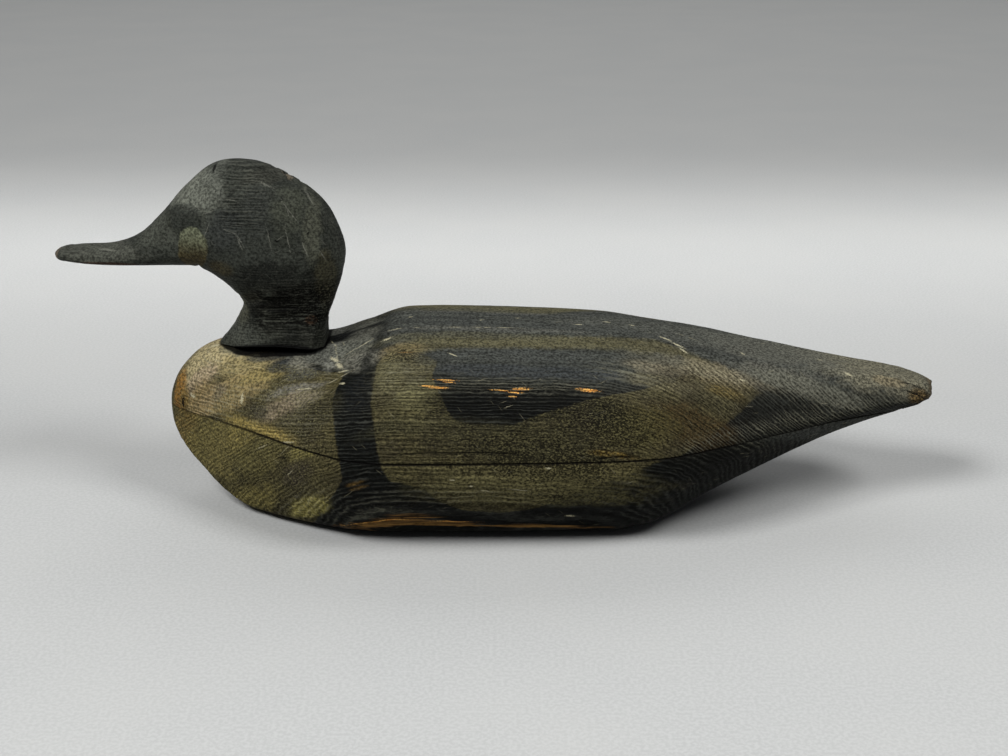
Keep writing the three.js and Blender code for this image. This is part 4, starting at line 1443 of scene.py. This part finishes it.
# %% Marks and shine, and the whole recipe
def marked(bench, at, colour, orange, pale, scratches, dark):
    """Marks, scratches and the joint line over a colour."""
    hard = bench.sum("SUBTRACT", 1.0, bench.product(at.low, 0.9))
    orange_mask = bench.product(any_mark(bench, at.sheet, at.ragged, orange), hard)
    colour = bench.blend(orange_mask, colour, bench.blend(at.fine_streak, "b06a26", "eebb66"))
    pale_mask = bench.product(any_mark(bench, at.sheet, at.ragged, pale), 0.75)
    dashes = bench.step(bench.noise(at.place, 0.2, 3.0), 0.4, 0.58)
    scratch_mask = bench.product(any_mark(bench, at.sheet, at.ragged, scratches), dashes, 0.55)
    for turn, seed, strength in ((0.45, 1.0, 0.3), (-0.9, 5.0, 0.2)):
        hairs = bench.use(hair_scratches, Sheet=at.sheet, Turn=turn, Seed=seed).outputs[0]
        scratch_mask = bench.sum("MAXIMUM", scratch_mask, bench.product(hairs, strength))
    colour = bench.blend(bench.sum("MAXIMUM", pale_mask, scratch_mask), colour, "aca68a")
    # Cuts are darkened, and the seat under the neck's foot gets painted shade.
    dark_mask = bench.sum("MAXIMUM", any_mark(bench, at.sheet, at.ragged, dark), at.cut)
    colour = bench.blend(bench.product(dark_mask, 0.95), colour, "060606")
    seam_edge = bench.sum("ADD", at.seam, bench.line(at.jitter, 0.6, -0.3))
    seam_line = bench.product(bench.step(seam_edge, 0.5, 0.2),
                              bench.step(at.x, 120.0, 84.0, 0.2, 0.85),
                              bench.step(at.x, -150.0, -96.0, 0.35, 1.0))
    return bench.blend(seam_line, colour, "0a0908")


def shine_of_board(bench, shader, at):
    """Roughness, the weak shine of old paint, and the finest relief of the grain."""
    rough = bench.sum("ADD", bench.line(at.green, 0.1, 0.52), bench.product(at.low, 0.2))
    rough = bench.sum("ADD", rough, bench.line(at.fine_streak, 0.12, -0.06))
    rough = bench.sum("MAXIMUM", rough, bench.product(at.peeled, 0.8))
    bench.feed(shader.inputs["Roughness"], rough)
    shader.inputs["Specular IOR Level"].default_value = BOARD_SHINE
    height = bench.product(bench.sum("SUBTRACT", at.high, bench.product(at.low, 0.4)),
                           bench.line(at.wear, 0.85, 0.1))
    height = bench.sum("ADD", height, bench.product(at.fine_streak, 0.2))
    height = bench.sum("SUBTRACT", height, bench.product(at.pitted, 0.5))
    raise_grain(bench, shader, height, 1.0)


def paint_board(name, orange, pale, scratches, dark):
    """Material of one board from its tables of marks. The joint face is plain glue-stained wood."""
    material, bench, shader = new_material(name)
    at = read_board(bench)
    colour = stained(bench, board_coats(bench, at), at.jitter)
    colour = weathered(bench, at, colour)
    colour = marked(bench, at, colour, orange, pale, scratches, dark)
    bench.feed(shader.inputs["Base Color"], bench.blend(at.skin, "4b3d2a", colour))
    shine_of_board(bench, shader, at)
    print(name, "has", len(material.node_tree.nodes), "nodes")
    return material


# %% [markdown]
# The marks are tables too: a start, an end and a half width on the unrolled near side. Orange flecks
# are wood that shows through, pale ones are putty and chips, and the dark ones are pits.

# %% Upper board's marks, and the piece
UPPER_ORANGE = [((-27, 55.2), (-19, 55.4), .45), ((-23, 56.6), (-20, 56.8), .5),
                ((-30, 59.6), (-22, 60), .6), ((-33, 58.8), (-28, 59), .35),
                ((6, 59.2), (11.6, 59), .75), ((4, 61.2), (8, 61.3), .5), ((3.5, 63.4), (6, 63.4), .4),
                ((33, 58.2), (39.6, 58.6), .9), ((-4, 60.2), (3, 60.4), .3)]
UPPER_PALE = [((-51, 23), (-48, 22.6), .8), ((-41, 3), (-39.8, 3), .5), ((-9, 7), (-7.5, 6), .45),
              ((7, 2), (8.4, 2), .4), ((33, 8), (36, 8), .5), ((46, 2), (48.4, 2), .5),
              ((58, 2), (59.4, 2), .6), ((71, 11), (75, 13.6), .8), ((75.5, 15.6), (80, 18.6), .8),
              ((79, 20), (81, 22), .7), ((107, 12), (108.2, 13.6), .6), ((144, 1), (145.2, 1), .6),
              ((154, 13), (156, 14), .7), ((-113, 36), (-113, 38.6), .85), ((-130, 4), (-127, 5), 1.2),
              ((-109, 16), (-107, 16.4), .7), ((-74, 23), (-71, 27), .9), ((-71, 29), (-69, 33), 1.1),
              ((-70, 35.5), (-66, 36.5), .5), ((-68, 45), (-66.6, 46), .7),
              ((-139, 22), (-136.6, 26), .5), ((104, 33), (105.4, 33), .6), ((-108, 59), (-98, 63), .5),
              ((-96, 63), (-88, 66), .4), ((-22, 36), (-19, 38), .35)]
UPPER_SCRATCHES = [((-76, 6), (-73, 14), .5), ((-73, 16), (-71, 28), .4), ((-70, 12), (-68, 20), .4),
                   ((-68, 24), (-52, 16.4), .4), ((-52, 16.4), (-30, 17), .4),
                   ((-30, 17), (10, 15), .35), ((-88, 42), (-77, 43), .4), ((-77, 43), (-64, 38), .4),
                   ((78, 2), (88, 8), .3), ((160, 4), (171, 9), .35)]
UPPER_DARK = [((-143.6, 19), (-142.8, 24), .9), ((-44, 34), (-40, 33), .4), ((181, 16), (194, 17), .6),
              ((183, 20), (193, 22), .6), ((176, 12), (190, 11.5), .35), ((178, 24), (192, 25), .5)]
upper_paint = paint_board("upper_board_paint", UPPER_ORANGE, UPPER_PALE, UPPER_SCRATCHES, UPPER_DARK)
new_piece("upper_board_carved", upper_grid, upper_layers, upper_paint, "upper_body")

# %% [markdown]
# The lower board has few marks of its own, mostly specks on the flank and wear along the chine.

# %% Lower board's marks, and the piece
LOWER_ORANGE = [((-64, 125.5), (-40, 129.5), .5), ((-30, 131), (-12, 131.5), .4)]
LOWER_PALE = [((-21, 101), (-19, 101), .4), ((-13, 104), (-11.6, 104), .4), ((19, 94), (20.6, 94), .5),
              ((28, 124), (31, 124), .7)]
LOWER_SCRATCHES = [((-106, 62), (-101, 62), .35), ((-92, 80), (-88, 78), .3),
                   ((-10, 106), (-4, 107), .3), ((3, 105), (12, 106), .3), ((-44, 92), (-20, 92.5), .3)]
LOWER_DARK = [((-95, 70), (-90, 72), .5)]
lower_paint = paint_board("lower_board_paint", LOWER_ORANGE, LOWER_PALE, LOWER_SCRATCHES, LOWER_DARK)
new_piece("lower_board_carved", lower_grid, lower_layers, lower_paint, "lower_body")

# %% [markdown]
# ## Paint on the head
#
# The head is black all over but for the olive patch behind the bill. Hands have rubbed it to a soft
# charcoal grey on the facets, and left the hollows between the ridges deep black. Its marks are
# placed on a plain side view, by distance along the bird and height.

# %% Marks of the head, and what its coats read
HEAD_PALE = [((-94, 143), (-87, 133), .22), ((-92, 141), (-90, 134), .18),
             ((-112, 128), (-110, 124), .35), ((-118, 131), (-112, 129), .25),
             ((-113, 129), (-110, 121), .3), ((-100, 133), (-98, 122), .22),
             ((-92, 132), (-90, 120), .25), ((-86, 146), (-80, 138), .25),
             ((-124, 134), (-127, 127), .25), ((-85, 124), (-83, 119), .35),
             ((-78, 120), (-76, 116), .3), ((-103, 150), (-97, 147), .3),
             # The second mark of the next line, along the bill's top edge, is a painted highlight.
             ((-134, 148), (-130, 151), .3), ((-176, 118.2), (-168, 118.4), .25),
             ((-96, 126), (-93, 128), .3), ((-127, 137), (-122, 139), .25),
             ((-131, 141), (-128, 139), .25), ((-118, 144), (-112, 143), .25),
             ((-128, 142), (-128, 145), .2), ((-126, 142), (-126, 145), .2),
             ((-124, 142), (-124, 145), .2)]
HEAD_DARK = [((-123, 154), (-123, 155), .8), ((-96, 126), (-95.6, 126), .6),
             ((-83, 128), (-82.6, 128), .6), ((-181, 111.6), (-140, 110.8), .4),
             ((-121, 146), (-121, 148), .2), ((-119, 145), (-119, 147), .2)]

material, bench, shader = new_material("head_black_paint")
place = in_millimetres(bench)
ring, patch, shaded_facets, lit_forehead, skin_layer, cut_and_shade_layer, chip_layer, worn_layer = (
    bench.attribute(layer)
    for layer in ("ring", "patch", "shaded_facets", "lit_forehead", "skin", "cut", "chip", "wear"))
x, y, z = bench.add("ShaderNodeSeparateXYZ", place).outputs
near = bench.step(y, 1.0, -1.0)
jitter = bench.noise(place, 0.9, 4.0, 0.6)
rattled = bench.line(jitter, 0.9, -0.45)
side_view = bench.add("ShaderNodeCombineXYZ", bench.sum("ADD", x, rattled),
                      bench.sum("ADD", z, rattled)).outputs[0]
ragged = bench.line(bench.noise(place, 1.6, 3.0, 0.6), 3.0, -1.3)
high, low = bench.use(ring_ridges, Ring=ring, Place=place, Broken=0.85).outputs
long_streak = bench.use(grain_streaks, Place=place, Length=22.0, Width=0.8).outputs[0]
fine_streak = bench.use(grain_streaks, Place=place, Length=3.5, Width=0.4).outputs[0]
mottle = bench.step(bench.noise(place, 0.08, 4.0, 0.6), 0.35, 0.68)
pits, flecks = bench.use(crackle, Place=place, Amount=0.1).outputs
print("marks on the head:", len(HEAD_PALE), "pale,", len(HEAD_DARK), "dark")

# %% [markdown]
# The coats of the head go on like those of the boards. The forehead, which faces up, is painted the
# palest as painted light, the brow and the cheek facets are painted dark as painted shade, and the back
# of the neck holds its old black paint, darkened further as painted shade under the head.

# %% Coats of the head
colour = bench.blend(mottle, "1e201d", "2f312c")
colour = bench.blend(bench.product(fine_streak, 0.25), colour, "3a3c35")
colour = stained(bench, colour, jitter)
# Painted light on the forehead, which faces up, and painted shade on the brow and cheek facets.
lit_forehead_mask = bench.use(frayed_edge, Inside=lit_forehead, Place=place, Fray=3.0,
                          Softness=1.4).outputs[0]
colour = bench.blend(bench.product(lit_forehead_mask, bench.line(mottle, 0.3, 0.2)), colour, "5c5e56")
shaded_facets_mask = bench.use(frayed_edge, Inside=shaded_facets, Place=place, Fray=1.4, Softness=0.7).outputs[0]
colour = bench.blend(bench.product(shaded_facets_mask, 0.5), colour, "282a27")
neck = bench.step(z, 110.0, 102.0)
colour = bench.blend(bench.product(neck, fine_streak, mottle, 0.28), colour, "5a5a4e")
# The back of the neck is near black: its old black paint, and painted shade under the head.
neck_black_and_shade = bench.product(neck, bench.step(long_streak, 0.28, 0.5), bench.step(x, -116.0, -104.0),
                          bench.step(z, 80.0, 88.0, 0.3, 1.0))
patch_mask = bench.use(frayed_edge, Inside=patch, Place=place, Fray=0.7, Softness=0.5).outputs[0]
patch_colour = bench.blend(bench.step(bench.line(jitter, 8.0, z), 134.0, 121.0), "5c5f4c", "3a3320")
colour = bench.blend(bench.product(patch_mask, 0.9), colour, patch_colour)
colour = bench.scale(colour, bench.line(bench.step(jitter, 0.36, 0.64), 1.0, 0.52))
colour = bench.blend(bench.product(low, bench.line(worn_layer, 1.0, 0.02)), colour, "080907")
colour = bench.blend(bench.product(high, bench.line(worn_layer, 0.75, 0.04)), colour, "4e4f46")
colour = bench.blend(bench.product(neck_black_and_shade, 0.9), colour, "040403")
colour = bench.blend(bench.product(flecks, 0.14), colour, "62625a")
colour = bench.blend(bench.product(pits, 0.3), colour, "0d0d0c")
print("nodes so far:", len(material.node_tree.nodes))

# %% [markdown]
# Bare wood shows at the bill's tip and in the chip of the crown. Pale scratches lie over everything,
# those of the tables on the near side only, and a pale line on the bill's top edge is a painted
# highlight. The cuts are darkened, and the chip's gap and the underside of the foot get painted shade.

# %% Bare wood and marks of the head, and the piece
tip = bench.sum("ADD", bench.step(x, -191.0, -196.5), bench.line(jitter, 0.8, -0.6))
tip_bare = bench.step(tip, 0.3, 0.6)
crown_bare = bench.step(bench.sum("ADD", chip_layer, bench.line(jitter, 0.8, -0.75)), 0.35, 0.6)
bare = bench.product(bench.sum("MAXIMUM", tip_bare, crown_bare), skin_layer)
colour = bench.blend(bare, colour, bench.blend(jitter, "2b2722", "6b6355"))
pale_mask = bench.product(any_mark(bench, side_view, ragged, HEAD_PALE), near)
for turn, seed in ((1.0, 2.0), (-0.5, 6.0), (2.1, 9.0)):
    hairs = bench.use(hair_scratches, Sheet=side_view, Turn=turn, Seed=seed).outputs[0]
    pale_mask = bench.sum("MAXIMUM", pale_mask, bench.product(hairs, 0.5))
colour = bench.blend(bench.product(pale_mask, 0.26), colour, "8a8a7e")
dark_mask = bench.product(any_mark(bench, side_view, ragged, HEAD_DARK), near)
# The dark of the cuts includes the painted shade of the chip's gap and under the foot.
dark_mask = bench.sum("MAXIMUM", dark_mask, cut_and_shade_layer)
colour = bench.blend(bench.product(dark_mask, 0.95), colour, "050505")
# The rings under the neck's foot are painted near black: painted shade against the seat.
colour = bench.blend(skin_layer, "080706", colour)
bench.feed(shader.inputs["Base Color"], colour)
rough = bench.sum("ADD", bench.line(fine_streak, 0.12, 0.48), bench.product(low, 0.2))
bench.feed(shader.inputs["Roughness"], bench.sum("MAXIMUM", rough, bench.product(bare, 0.8)))
shader.inputs["Specular IOR Level"].default_value = HEAD_SHINE
height = bench.product(bench.sum("SUBTRACT", high, bench.product(low, 0.3)),
                       bench.line(worn_layer, 0.9, 0.08))
height = bench.sum("ADD", height, bench.product(fine_streak, 0.16))
height = bench.sum("SUBTRACT", height, bench.product(pits, 0.2))
raise_grain(bench, shader, height, 0.9)
new_piece("carved_head", head_grid, head_layers, material, "head")
